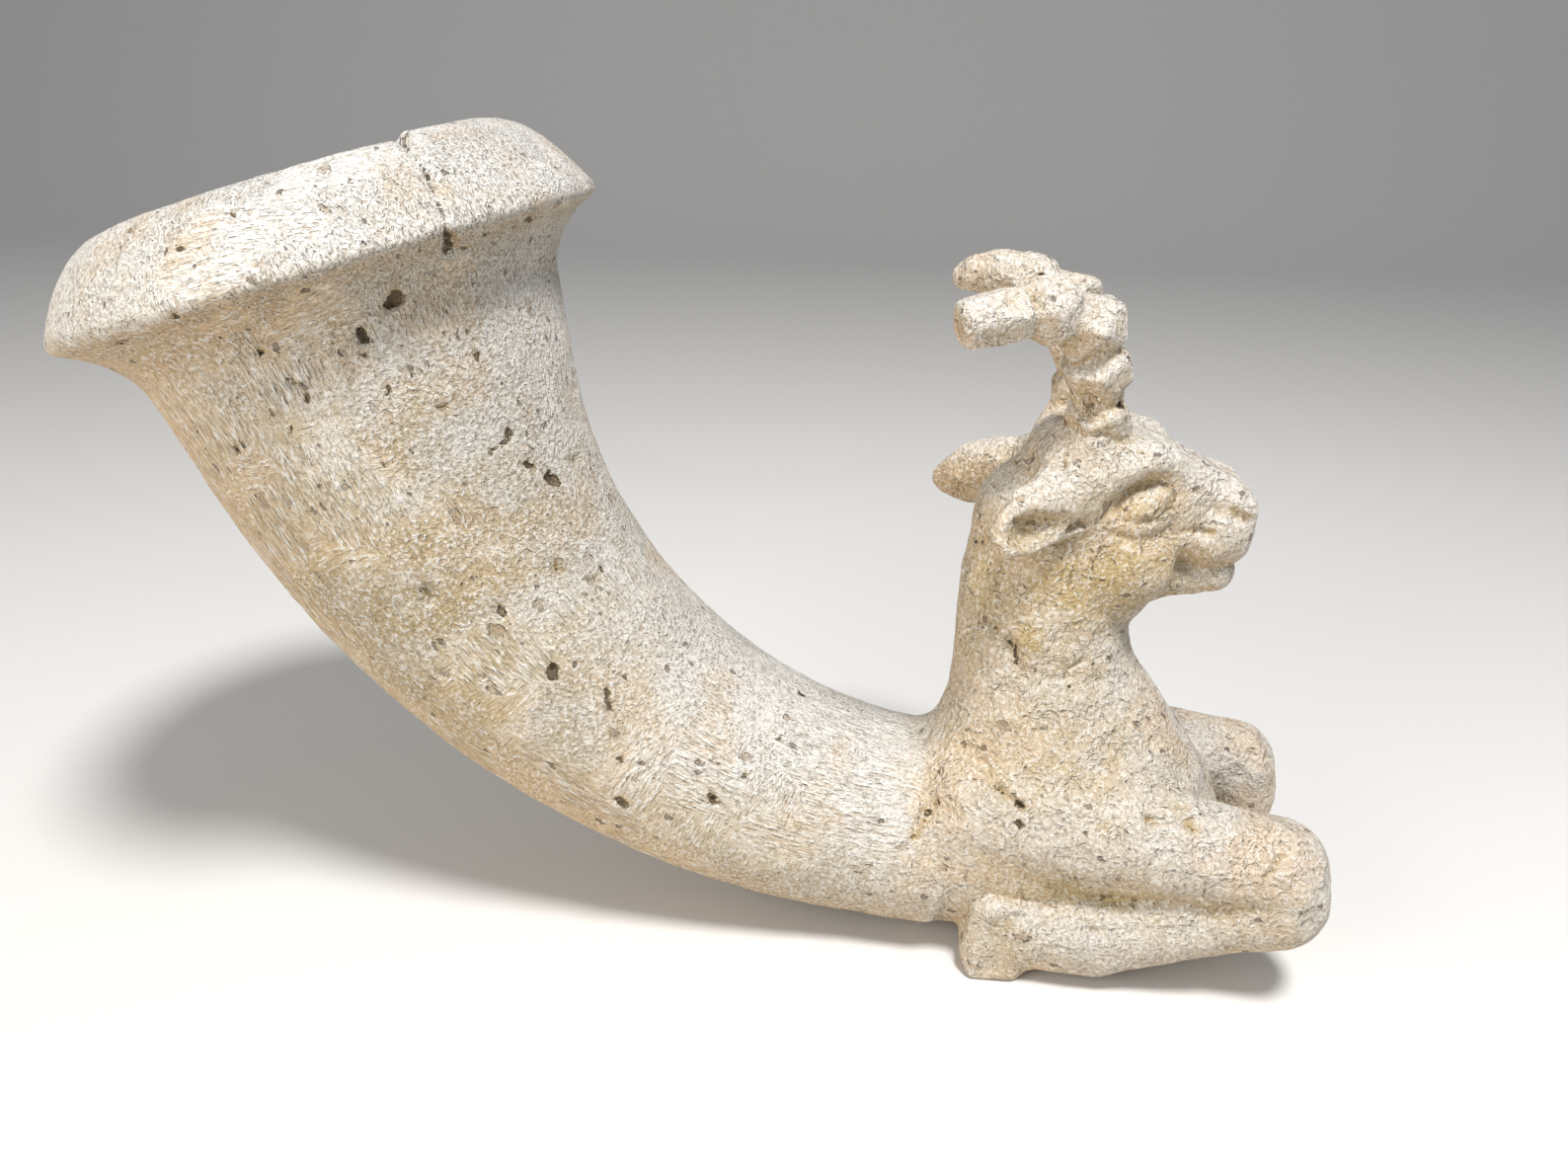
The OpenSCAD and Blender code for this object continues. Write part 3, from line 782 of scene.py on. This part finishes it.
HAIRLINES = [
    (-59.1, -20.4, 93.0, -56.5, -16.9, 92.3, -53.5, -12.2, 91.4, 0.05),
    (-52.5, -9.4, 93.6, -50.9, -0.3, 93.7, -51.2, 6.0, 93.4, 0.05),
    (7.6, -15.2, 16.6, 8.6, -15.2, 15.0, 9.6, -15.0, 13.4, 0.1),
    (10.9, -11.4, 32.2, 14.3, -12.4, 32.5, 0.1)]


def pits(points, grain):
    """Distance to the nearest pit, scattered or in a place of its own."""
    warped = wander(grain * (0.55, 1, 1), 1.3, 0.5, 9)
    gap = pit_gap(warped, 4.4, 0.50, 0.2, 0.85, 1)
    gap = np.minimum(gap, pit_gap(warped, 2.3, 0.42, 0.1, 0.5, 2))
    bare = 1 - smooth_step(noise(points, 16.0, 40), -0.5, 0.5)
    gap = gap + 1.1 * bare * smooth_step(gap, -0.6, 0.2) + 0.25 * noise(points, 1.0, 88)
    named = line_gap(wander(points, 1.2, 0.4, 19), NAMED_PITS) + 0.12 * noise(points, 0.9, 90)
    return np.minimum(gap, named)


def dents(points):
    gap = line_gap(wander(points, 1.6, 0.5, 27), NAMED_DENTS) + 0.2 * noise(points, 1.3, 91)
    return np.minimum(gap, pit_gap(wander(points, 2.2, 1.0, 29), 7.0, 0.34, 0.5, 1.3, 5))


def weather(clay, points, normals):
    """Moves the points as the carved and pitted stone has them, and returns the marks."""
    t, under, _, _ = cup_places(points)
    grain = np.stack([t, points[:, 1], under], 1)
    crease = clay.curvature(points, 1.0)
    cupside = 1 - smooth_step(points[:, 0], -10, 6)
    push = 0.17 * rough_noise(points, 9.0, 1) + 0.07 * rough_noise(points, 2.4, 4)
    push += (1 - cupside) * 0.10 * rough_noise(points, 3.2, 95)
    pit = pits(points, grain)
    push -= 1.0 * smooth_step(-pit, -0.15, 0.75)
    dent = dents(points)
    push -= 0.8 * smooth_step(-dent, -0.3, 0.45)

    on_rim = smooth_step(t, CUP_LENGTH - 5, CUP_LENGTH - 3) * (points[:, 0] < -40)
    near_gap = crack_gap(points, BREAK_NEAR, 51)
    far_gap = crack_gap(points, BREAK_FAR, 71)
    crack = np.minimum(np.abs(near_gap), np.abs(far_gap)) + (1 - on_rim) * 50
    push -= 0.45 * np.exp(-(crack / 0.5) ** 2) * (1 + 0.8 * noise(points, 2.0, 61))
    notch = line_gap(points, [(-59.5, -17.2, 107.6, -61.6, -15.4, 109.0, 0.6)])
    push -= 1.1 * smooth_step(-notch, -0.9, 0.5)
    push -= 0.12 * np.clip(crease, 0, 2) * (1 + 0.9 * noise(points, 1.6, 14))
    moved = points + normals * push[:, None]
    proud = smooth_step(t, CUP_LENGTH + 2, CUP_LENGTH + RIM_RISE) * on_rim
    proud *= smooth_step(near_gap, -0.2, 0.2) * smooth_step(-far_gap, -0.2, 0.2)
    moved += FRAGMENT_LIFT * proud[:, None] * np.array(RIM_NORMAL)
    moved[:, 2] = np.maximum(moved[:, 2], 0)
    hairline = line_gap(wander(points, 1.5, 0.5, 33), HAIRLINES) + 0.15
    marks = {
        # The pit mark also reaches the centres of the deeper dents; the material darkens it as dirt and
        # painted shade.
        "pit": np.clip(np.minimum(pit, dent + 0.5), -2, 2),
        # Concave places, which the material tints ochre as stain and painted shade.
        "crease": np.clip(-crease * 0.6, 0, 1),
        "edge": np.clip(crease * 0.5, 0, 1),
        "crack": np.clip(np.minimum(crack, hairline), 0, 5),
        "upright": smooth_step(points[:, 2], 30, 42) * smooth_step(points[:, 0], -1, 4),
        "cupside": cupside,
        "warmth": np.maximum(warm_places(points), 0.95 * smooth_step(-dent, -0.2, 0.3)),
        "grain": grain * MILLIMETRE,
    }
    return moved, marks


# From arrays to Blender meshes

def add_layer(mesh, name, values):
    """Stores a number, or a row of three, for each point."""
    kind, key = ("FLOAT_VECTOR", "vector") if values.ndim == 2 else ("FLOAT", "value")
    layer = mesh.attributes.new(name, kind, "POINT")
    layer.data.foreach_set(key, values.astype(np.float32).ravel())


def to_bmesh(points, quads, marks, owned):
    mesh = bpy.data.meshes.new("stone")
    mesh.vertices.add(len(points))
    mesh.vertices.foreach_set("co", ((points + (FRAME_X, 0, 0)) * MILLIMETRE).ravel())
    mesh.loops.add(quads.size)
    mesh.loops.foreach_set("vertex_index", quads.ravel())
    mesh.polygons.add(len(quads))
    mesh.polygons.foreach_set("loop_start", np.arange(0, quads.size, 4))
    mesh.polygons.foreach_set("use_smooth", np.ones(len(quads), bool))
    mesh.update(calc_edges=True)
    for name, values in marks.items():
        add_layer(mesh, name, values)
    layer = mesh.attributes.new("owner", "INT", "POINT")
    layer.data.foreach_set("value", owned.astype(np.int32))
    bm = bmesh.new()
    bm.from_mesh(mesh)
    bpy.data.meshes.remove(mesh)
    return bm


def carve_part(low, high, step):
    """The stone between two corners as a mesh, and the names its owner numbers stand for."""
    clay = Clay(low, high, step)
    shape_stone(clay)
    points, quads = clay.skin()
    for _ in range(2):
        normals = clay.slope(points, step * 0.6)
        away = clay.sample(clay.field, points)
        points = points - normals * np.clip(away, -step, step)[:, None] * 0.8
    moved, marks = weather(clay, points, clay.slope(points, step * 0.9))
    owners = list(clay.owners)
    nearest = np.stack([clay.sample(clay.owners[owner], points) for owner in owners], 1)
    return to_bmesh(moved, quads, marks, nearest.argmin(1)), owners


# Distance in metres within which a plane takes a point as its own
SNAP = 0.00012

# Which open loops lie in one plane, and how many edges a real hole has at least
SAME_PLANE = 0.0004
PARALLEL = 0.995
SHORT_LOOP = 8


def plane_cut(bm, point, normal, only=None):
    """Adds an edge loop where a plane crosses the faces whose middles only() picks."""
    faces = [f for f in bm.faces if only is None or only(f.calc_center_median())]
    verts = list(dict.fromkeys(v for f in faces for v in f.verts))
    edges = list(dict.fromkeys(e for f in faces for e in f.edges))
    bmesh.ops.bisect_plane(bm, geom=verts + edges + faces, dist=SNAP, plane_co=point, plane_no=normal)


def open_loops(bm):
    """Groups of joined boundary edges, the longest first."""
    waiting = {edge: None for edge in bm.edges if edge.is_boundary}
    groups = []
    while waiting:
        seed = next(iter(waiting))
        del waiting[seed]
        group = [seed]
        for edge in group:
            for vert in edge.verts:
                for other in vert.link_edges:
                    if other in waiting:
                        del waiting[other]
                        group.append(other)
        groups.append(group)
    return sorted(groups, key=len, reverse=True)


def loop_normal(edges):
    points = np.array([v.co for e in edges for v in e.verts])
    centred = points - points.mean(0)
    return np.linalg.svd(centred, full_matrices=False)[2][2], points.mean(0)


def close_openings(bm):
    """Closes each flat opening, and leaves open what lies as a hole within it."""
    groups = [(group, *loop_normal(group)) for group in open_loops(bm)]
    used = set()
    for i, (group, normal, middle) in enumerate(groups):
        if i in used:
            continue
        together = list(group)
        for j, (other, other_normal, other_middle) in enumerate(groups):
            if j <= i or j in used:
                continue
            same_plane = abs(normal @ (other_middle - middle)) < SAME_PLANE
            if same_plane and abs(normal @ other_normal) > PARALLEL and len(other) > SHORT_LOOP:
                used.add(j)
                together += other
        made = bmesh.ops.triangle_fill(bm, use_beauty=True, edges=together, normal=Vector(normal))
        for item in made["geom"]:
            if isinstance(item, bmesh.types.BMFace):
                item.smooth = False
        for edge in together:
            edge.smooth = False


def keep_faces(bm, keep):
    """A copy with only the faces that keep() picks, closed where they were cut."""
    bm.faces.index_update()
    drop_numbers = [f.index for f in bm.faces if not keep(f)]
    part = bm.copy()
    part.faces.ensure_lookup_table()
    bmesh.ops.delete(part, geom=[part.faces[i] for i in drop_numbers], context="FACES")
    bmesh.ops.delete(part, geom=[v for v in part.verts if not v.link_faces], context="VERTS")
    close_openings(part)
    return part


def beyond(point, normal):
    """A test for faces whose middle lies on the side of a plane to which its normal points."""
    return lambda face: (face.calc_center_median() - point).dot(normal) > 0


def finish_piece(name, bm, node, slot):
    mesh = bpy.data.meshes.new(name)
    bmesh.ops.recalc_face_normals(bm, faces=bm.faces[:])
    bm.to_mesh(mesh)
    bm.free()
    mesh.attributes.remove(mesh.attributes["owner"])
    mesh.materials.append(MATERIALS[slot])
    piece = bpy.data.objects.new(name, mesh)
    bpy.context.scene.collection.objects.link(piece)
    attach(piece, "root")
    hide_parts(node)


# Stone

class Nodes:
    """Short calls for building a material."""

    def __init__(self, name):
        self.material = bpy.data.materials.new(name)
        self.material.use_nodes = True
        self.tree = self.material.node_tree
        self.shader = self.tree.nodes["Principled BSDF"]
        self.colour = None
        self.normal = None

    def node(self, kind, inputs=None, **settings):
        made = self.tree.nodes.new(kind)
        for key, value in settings.items():
            setattr(made, key, value)
        for key, value in (inputs or {}).items():
            self.plug(value, made.inputs[key])
        return made

    def plug(self, value, socket):
        if isinstance(value, bpy.types.NodeSocket):
            self.tree.links.new(value, socket)
        else:
            socket.default_value = value

    def mark(self, name, output="Fac"):
        return self.node("ShaderNodeAttribute", attribute_name=name).outputs[output]

    def math(self, operation, a, b):
        return self.node("ShaderNodeMath", {0: a, 1: b}, operation=operation).outputs[0]

    def times(self, a, b):
        return self.math("MULTIPLY", a, b)

    def vector(self, operation, a, b, output="Vector"):
        return self.node("ShaderNodeVectorMath", {0: a, 1: b}, operation=operation).outputs[output]

    def ramp(self, value, low, high, out_low=0.0, out_high=1.0):
        made = self.node("ShaderNodeMapRange", {"Value": value, "From Min": low, "From Max": high,
                                                "To Min": out_low, "To Max": out_high},
                         interpolation_type="SMOOTHSTEP")
        return made.outputs["Result"]

    def by_place(self, animal, cup):
        """One value on the animal and another on the cup, with a soft change between."""
        return self.ramp(self.mark("cupside"), 0, 1, animal, cup)

    def mix(self, share, a, b):
        made = self.node("ShaderNodeMix", {"Factor": share, "A": a, "B": b}, data_type="RGBA")
        return made.outputs["Result"]

    def tint(self, share, colour):
        """Lays a share of a colour over what the stone has so far."""
        self.colour = self.mix(share, self.colour, colour)

    def stretch(self, vector, scale, turn=(0, 0, 0)):
        made = self.node("ShaderNodeMapping", {"Vector": vector, "Scale": scale,
                                               "Rotation": [radians(a) for a in turn]})
        return made.outputs["Vector"]

    def noise(self, vector, scale, detail=2.0, rough=0.5, output="Fac"):
        made = self.node("ShaderNodeTexNoise", {"Vector": vector, "Scale": scale, "Detail": detail,
                                                "Roughness": rough})
        return made.outputs[output]

    def bump(self, height, depth, strength):
        """Adds a relief with a depth in metres over those before it."""
        made = self.node("ShaderNodeBump", {"Height": height, "Distance": depth, "Strength": strength})
        if self.normal:
            self.plug(self.normal, made.inputs["Normal"])
        self.normal = made.outputs["Normal"]


# Linear colours of the stone
PALE = (0.72, 0.655, 0.555, 1)
GREY = (0.78, 0.765, 0.725, 1)
TAN = (0.69, 0.485, 0.275, 1)
OCHRE = (0.48, 0.355, 0.165, 1)
WHITE = (0.84, 0.81, 0.75, 1)
BROWN = (0.36, 0.265, 0.165, 1)
# Dark brown for dirt and painted shade in pits and cracks.
DIRT_AND_SHADE = (0.13, 0.085, 0.05, 1)


def rasp_marks(n, grain):
    """Height of the short parallel tool marks, along the cup or up the neck."""
    along = n.noise(n.stretch(grain, (460, 2900, 2900), (0, 0, 8)), 1.0, 2, 0.6)
    upward = n.noise(n.stretch(grain, (2600, 2600, 520), (0, 14, 0)), 1.0, 2, 0.6)
    crossed = n.noise(n.stretch(grain, (2600, 2600, 460), (0, 62, 15)), 1.0, 2, 0.6)
    marks = n.mix(n.mark("upright"), along, upward)
    patches = n.ramp(n.noise(grain, 95, 1), 0.50, 0.58, 0, 0.85)
    return n.mix(patches, marks, crossed)


def cell_pits(n, place, scale, share, widest):
    """Depth of small scattered hollows, from cells of which only some hold one."""
    cells = n.node("ShaderNodeTexVoronoi", {"Vector": n.stretch(place, (0.6, 1, 1)), "Scale": scale})
    luck = n.node("ShaderNodeSeparateColor", {"Color": cells.outputs["Color"]})
    width = n.times(luck.outputs["Green"], widest)
    inside = n.ramp(n.math("SUBTRACT", cells.outputs["Distance"], width), 0.03, -0.08)
    return n.times(inside, n.math("LESS_THAN", luck.outputs["Red"], share))


def stain_and_painted_light(n, place, tone, blotch):
    """The stone's colour: paler and greyer where it faces up and to the right and tan where it faces down
    and to the left, as painted light and shade; ochre stains; ochre in creases, partly stain and partly
    painted shade; and pale worn edges.
    """
    cloud = n.noise(place, 24, 2, 0.5)
    facing = n.node("ShaderNodeNewGeometry").outputs["Normal"]
    toward_light = n.vector("DOT_PRODUCT", facing, (0.55, 0.0, 0.84), "Value")
    toward_light = n.math("ADD", toward_light, n.times(n.math("SUBTRACT", cloud, 0.5), 0.9))
    # Painted light and shade: paler and greyer where the surface faces up and to the right, tan where it
    # faces down and away.
    n.colour = n.mix(n.ramp(toward_light, -0.75, 0.08), TAN, PALE)
    n.tint(n.ramp(toward_light, -0.15, 0.62, 0, 0.95), GREY)
    n.tint(n.by_place(0.36, 0), BROWN)
    n.tint(n.ramp(tone, 0.52, 0.36, 0, 0.45), TAN)
    n.tint(n.times(n.mark("warmth"), n.ramp(blotch, 0.34, 0.60, 0.2, 1.0)), OCHRE)
    n.tint(n.ramp(blotch, 0.60, 0.74, 0, 0.45), OCHRE)
    # Ochre in creases: partly stain gathered there, partly painted shade.
    n.tint(n.times(n.mark("crease"), 0.75), OCHRE)
    n.tint(n.times(n.times(n.mark("edge"), n.ramp(tone, 0.3, 0.6)), 0.7), WHITE)


def stone(name):
    """Porous pale stone with tool marks along the grain, stains, and pits and cracks darkened with dirt
    and painted shade.
    """
    n = Nodes(name)
    place = n.node("ShaderNodeTexCoord").outputs["Object"]
    grain = n.mark("grain", "Vector")
    shake = n.vector("SUBTRACT", n.noise(place, 1100, 1.0, output="Color"), (0.5, 0.5, 0.5))
    shaken = n.vector("ADD", grain, n.vector("MULTIPLY", shake, (0.0012, 0.0012, 0.0012)))
    tone = n.noise(place, 75, 3, 0.55)
    blotch = n.noise(place, 160, 4, 0.6)
    stain_and_painted_light(n, place, tone, blotch)

    crumbs = n.noise(place, 1800, 3, 0.6)
    crumbly = n.ramp(n.noise(place, 48, 2), 0.44, 0.58, 0.2, 0.85)
    crumbly = n.math("MAXIMUM", crumbly, n.by_place(0.85, 0))
    skin = n.mix(crumbly, rasp_marks(n, grain), crumbs)
    strength = n.by_place(0.65, 1)
    # Painted shade in the grooves of the tool marks and painted highlight on their ridges.
    n.tint(n.times(n.ramp(skin, 0.52, 0.38, 0, 0.50), strength), BROWN)
    n.tint(n.times(n.ramp(skin, 0.50, 0.62, 0, 0.85), strength), WHITE)

    small = cell_pits(n, shaken, 700.0, 0.22, 0.34)
    middle = cell_pits(n, shaken, 300.0, 0.42, 0.26)
    depth = n.math("ADD", n.mark("pit"), n.times(n.math("SUBTRACT", crumbs, 0.5), 0.9))
    core = n.ramp(depth, -0.05, -0.30)
    crack = n.ramp(n.math("ADD", n.mark("crack"), n.times(crumbs, 0.5)), 0.50, 0.28)
    # Pits, their cores and the cracks are darkened with dirt and painted shade; the ochre in shallow pits
    # is partly stain, partly painted shade.
    n.tint(n.times(small, 0.7), DIRT_AND_SHADE)
    n.tint(n.times(middle, 0.6), BROWN)
    n.tint(n.times(n.ramp(depth, 0.12, -0.10), 0.6), OCHRE)
    n.tint(n.times(core, n.ramp(blotch, 0.40, 0.55, 0.35, 0.85)), DIRT_AND_SHADE)
    n.tint(n.times(crack, 0.55), DIRT_AND_SHADE)

    hammered = n.node("ShaderNodeTexVoronoi", {"Vector": shaken, "Scale": 260.0})
    n.bump(hammered.outputs["Distance"], n.by_place(0.0020, 0.0003), 0.8)
    n.bump(skin, n.by_place(0.0009, 0.0017), 1.0)
    n.bump(n.noise(place, 700, 3, 0.6), 0.0006, 0.7)
    for hollow, deep, strength in ((n.math("MAXIMUM", small, middle), 0.0004, 0.8),
                                   (core, 0.0008, 0.9), (crack, 0.0005, 0.8)):
        n.bump(n.times(hollow, -1), deep, strength)
    n.plug(n.colour, n.shader.inputs["Base Color"])
    n.plug(n.normal, n.shader.inputs["Normal"])
    n.plug(n.ramp(tone, 0.3, 0.7, 0.62, 0.85), n.shader.inputs["Roughness"])
    n.plug(0.35, n.shader.inputs["Specular IOR Level"])
    return n.material


def plain(name, colour, roughness):
    n = Nodes(name)
    n.plug(colour, n.shader.inputs["Base Color"])
    n.plug(roughness, n.shader.inputs["Roughness"])
    return n.material


MATERIALS = {row["slot"]: stone(row["slot"].replace("_", " ")) for row in frame["record"]["materials"]}


# Pieces of the cup. Their planes cross the stone twice, and are cut only below or above these.
SEAM_TOP = 0.040
RIM_BOTTOM = 0.060


def row_point(x, y, z):
    return Vector(((x + FRAME_X) * MILLIMETRE, y * MILLIMETRE, z * MILLIMETRE))


SEAM_POINT = row_point(0, 0, CHANNEL_HEIGHT)
SEAM_NORMAL = Vector((cos(BODY_SLOPE), 0, -sin(BODY_SLOPE)))
RIM_X, RIM_Z = axis_point(FLARE_START)
RIM_POINT = row_point(RIM_X, 0, RIM_Z)
RIM_NORMAL = Vector((-sin(LIP_TILT), 0, cos(LIP_TILT)))
LIP_POINT = row_point(LIP_X, 0, LIP_Z)
LEVEL = Vector((cos(LIP_TILT), 0, sin(LIP_TILT)))


def in_fragment(face):
    away = face.calc_center_median() - LIP_POINT
    return BREAK_NEAR < atan2(away.y, away.dot(LEVEL)) < BREAK_FAR


def make_cup():
    bm, _ = carve_part((-113, -37, 4), (3, 37, 113), CUP_STEP)
    plane_cut(bm, SEAM_POINT, SEAM_NORMAL, only=lambda c: c.z < SEAM_TOP)
    whole = keep_faces(bm, beyond(SEAM_POINT, -SEAM_NORMAL))
    bm.free()
    plane_cut(whole, RIM_POINT, RIM_NORMAL, only=lambda c: c.z > RIM_BOTTOM)
    horn = keep_faces(whole, beyond(RIM_POINT, -RIM_NORMAL))
    rim = keep_faces(whole, beyond(RIM_POINT, RIM_NORMAL))
    whole.free()
    for angle in (BREAK_NEAR, BREAK_FAR):
        ray = LEVEL * cos(angle) + Vector((0, sin(angle), 0))
        plane_cut(rim, LIP_POINT, RIM_NORMAL.cross(ray), only=lambda c: (c - LIP_POINT).dot(ray) > 0)
    fragment = keep_faces(rim, in_fragment)
    band = keep_faces(rim, lambda f: not in_fragment(f))
    rim.free()
    finish_piece("carved_horn_wall", horn, "cup_horn", "stone_cup")
    finish_piece("flared_rim", band, "rim_band", "stone_rim")
    finish_piece("rejoined_rim_fragment", fragment, "rim_fragment", "stone_fragment")


# Pieces of the animal

NECK_CUT = row_point(15.6, 0, 55.4)
NECK_NORMAL = Vector((12.5, 0, 22)).normalized()
NECK_HALF = 11.8 * MILLIMETRE
ANIMAL_SLOTS = {"chest": "stone_body", "neck": "stone_neck", "foreleg": "stone_body",
                "hoof": "stone_hoof", "horn": "stone_horn"}


def owner_of(face, layer):
    votes = [vert[layer] for vert in face.verts]
    return max(set(votes), key=votes.count)


def make_pieces(bm, owners, names):
    """One closed piece for each name, from the shape that lies nearest to each face.

    Where no piece is named after the nearest shape, the first name takes the face.
    """
    layer = bm.verts.layers.int["owner"]
    lookup = [owner if owner in names else names[0] for owner in owners]
    for name in names:
        piece = keep_faces(bm, lambda f: lookup[owner_of(f, layer)] == name)
        slot = ANIMAL_SLOTS.get(name.split("_")[0], "stone_head")
        finish_piece("carved_" + name, piece, name, slot)


def make_body():
    bm, owners = carve_part((-2.5, -22, -1.2), (57, 22, 70), BODY_STEP)
    plane_cut(bm, SEAM_POINT, SEAM_NORMAL)
    plane_cut(bm, NECK_CUT, NECK_NORMAL)
    past_seam = beyond(SEAM_POINT, SEAM_NORMAL)
    under_head = beyond(NECK_CUT, -NECK_NORMAL)
    body = keep_faces(bm, lambda f: past_seam(f) and under_head(f))
    bm.free()
    make_pieces(body, owners, ["chest", "neck", "foreleg_right", "foreleg_left",
                               "hoof_right", "hoof_left"])
    body.free()


def make_head():
    bm, owners = carve_part((-3, -21, 44), (44, 21, 98), HEAD_STEP)
    plane_cut(bm, NECK_CUT, NECK_NORMAL, only=lambda c: abs(c.y) < NECK_HALF)
    over_neck = beyond(NECK_CUT, NECK_NORMAL)
    head = keep_faces(bm, lambda f: over_neck(f) or abs(f.calc_center_median().y) > NECK_HALF)
    bm.free()
    make_pieces(head, owners, ["head", "lower_jaw", "horn_right", "horn_left",
                               "ear_right", "ear_left", "eye_right", "eye_left"])
    head.free()


# Camera, floor and light

def make_camera():
    """A camera that sees the object as the photo does."""
    azimuth = radians(6.1)
    elevation = radians(22.4)
    roll = radians(1.0)
    focal_pixels = 1193
    image_width = 1588
    data = bpy.data.cameras.new("camera")
    data.sensor_width = 36
    data.lens = focal_pixels / image_width * data.sensor_width
    data.clip_start = 0.005
    camera = bpy.data.objects.new("camera", data)
    camera.matrix_world = (Matrix.Translation((0.02523, -0.150, 0.1129))
                           @ Matrix.Rotation(azimuth, 4, "Z")
                           @ Matrix.Rotation(pi / 2 - elevation, 4, "X")
                           @ Matrix.Rotation(roll, 4, "Z"))
    bpy.context.scene.collection.objects.link(camera)
    bpy.context.scene.camera = camera


def make_floor():
    """A level floor that sweeps up into the backdrop far behind the object."""
    front = -1.2
    back = 1.4
    bend = 0.6
    width = 3.0
    profile = [(front, 0.0), (0.0, 0.0), (back - bend, 0.0)]
    for i in range(1, 13):
        angle = i / 12 * pi / 2
        profile.append((back - bend + bend * sin(angle), bend - bend * cos(angle)))
    profile.append((back, 2.6))
    points = [(x, y, z) for y, z in profile for x in (-width, width)]
    faces = [(2 * i, 2 * i + 1, 2 * i + 3, 2 * i + 2) for i in range(len(profile) - 1)]
    mesh = bpy.data.meshes.new("floor")
    mesh.from_pydata(points, [], faces)
    for face in mesh.polygons:
        face.use_smooth = True
    floor = bpy.data.objects.new("floor", mesh)
    mesh.materials.append(plain("floor", (0.72, 0.71, 0.69, 1), 0.9))
    bpy.context.scene.collection.objects.link(floor)


def make_lamp(name, place, target, size, power, colour):
    data = bpy.data.lights.new(name, "AREA")
    data.shape = "DISK"
    data.size = size
    data.energy = power
    data.color = colour
    lamp = bpy.data.objects.new(name, data)
    aim = (Vector(target) - Vector(place)).to_track_quat("-Z", "Y")
    lamp.matrix_world = Matrix.Translation(Vector(place)) @ aim.to_matrix().to_4x4()
    bpy.context.scene.collection.objects.link(lamp)


def make_world():
    world = bpy.data.worlds.new("studio")
    world.use_nodes = True
    tree = world.node_tree
    ground = tree.nodes["Background"]
    ground.inputs["Color"].default_value = (0.93, 0.95, 1.0, 1)
    ground.inputs["Strength"].default_value = 0.30
    seen = tree.nodes.new("ShaderNodeBackground")
    seen.inputs["Color"].default_value = (0.86, 0.86, 0.85, 1)
    path = tree.nodes.new("ShaderNodeLightPath")
    mix = tree.nodes.new("ShaderNodeMixShader")
    tree.links.new(path.outputs["Is Camera Ray"], mix.inputs[0])
    tree.links.new(ground.outputs[0], mix.inputs[1])
    tree.links.new(seen.outputs[0], mix.inputs[2])
    tree.links.new(mix.outputs[0], tree.nodes["World Output"].inputs["Surface"])
    bpy.context.scene.world = world


make_camera()
make_floor()
make_world()
make_lamp("key", (0.13, -0.20, 0.56), (0, 0, 0.05), 0.12, 4.0, (1.0, 0.99, 0.98))
make_lamp("fill", (-0.50, -0.50, 0.28), (0, 0, 0.05), 0.5, 3.3, (1.0, 0.97, 0.93))
bpy.context.scene.view_settings.view_transform = "Standard"

make_cup()
make_body()
make_head()
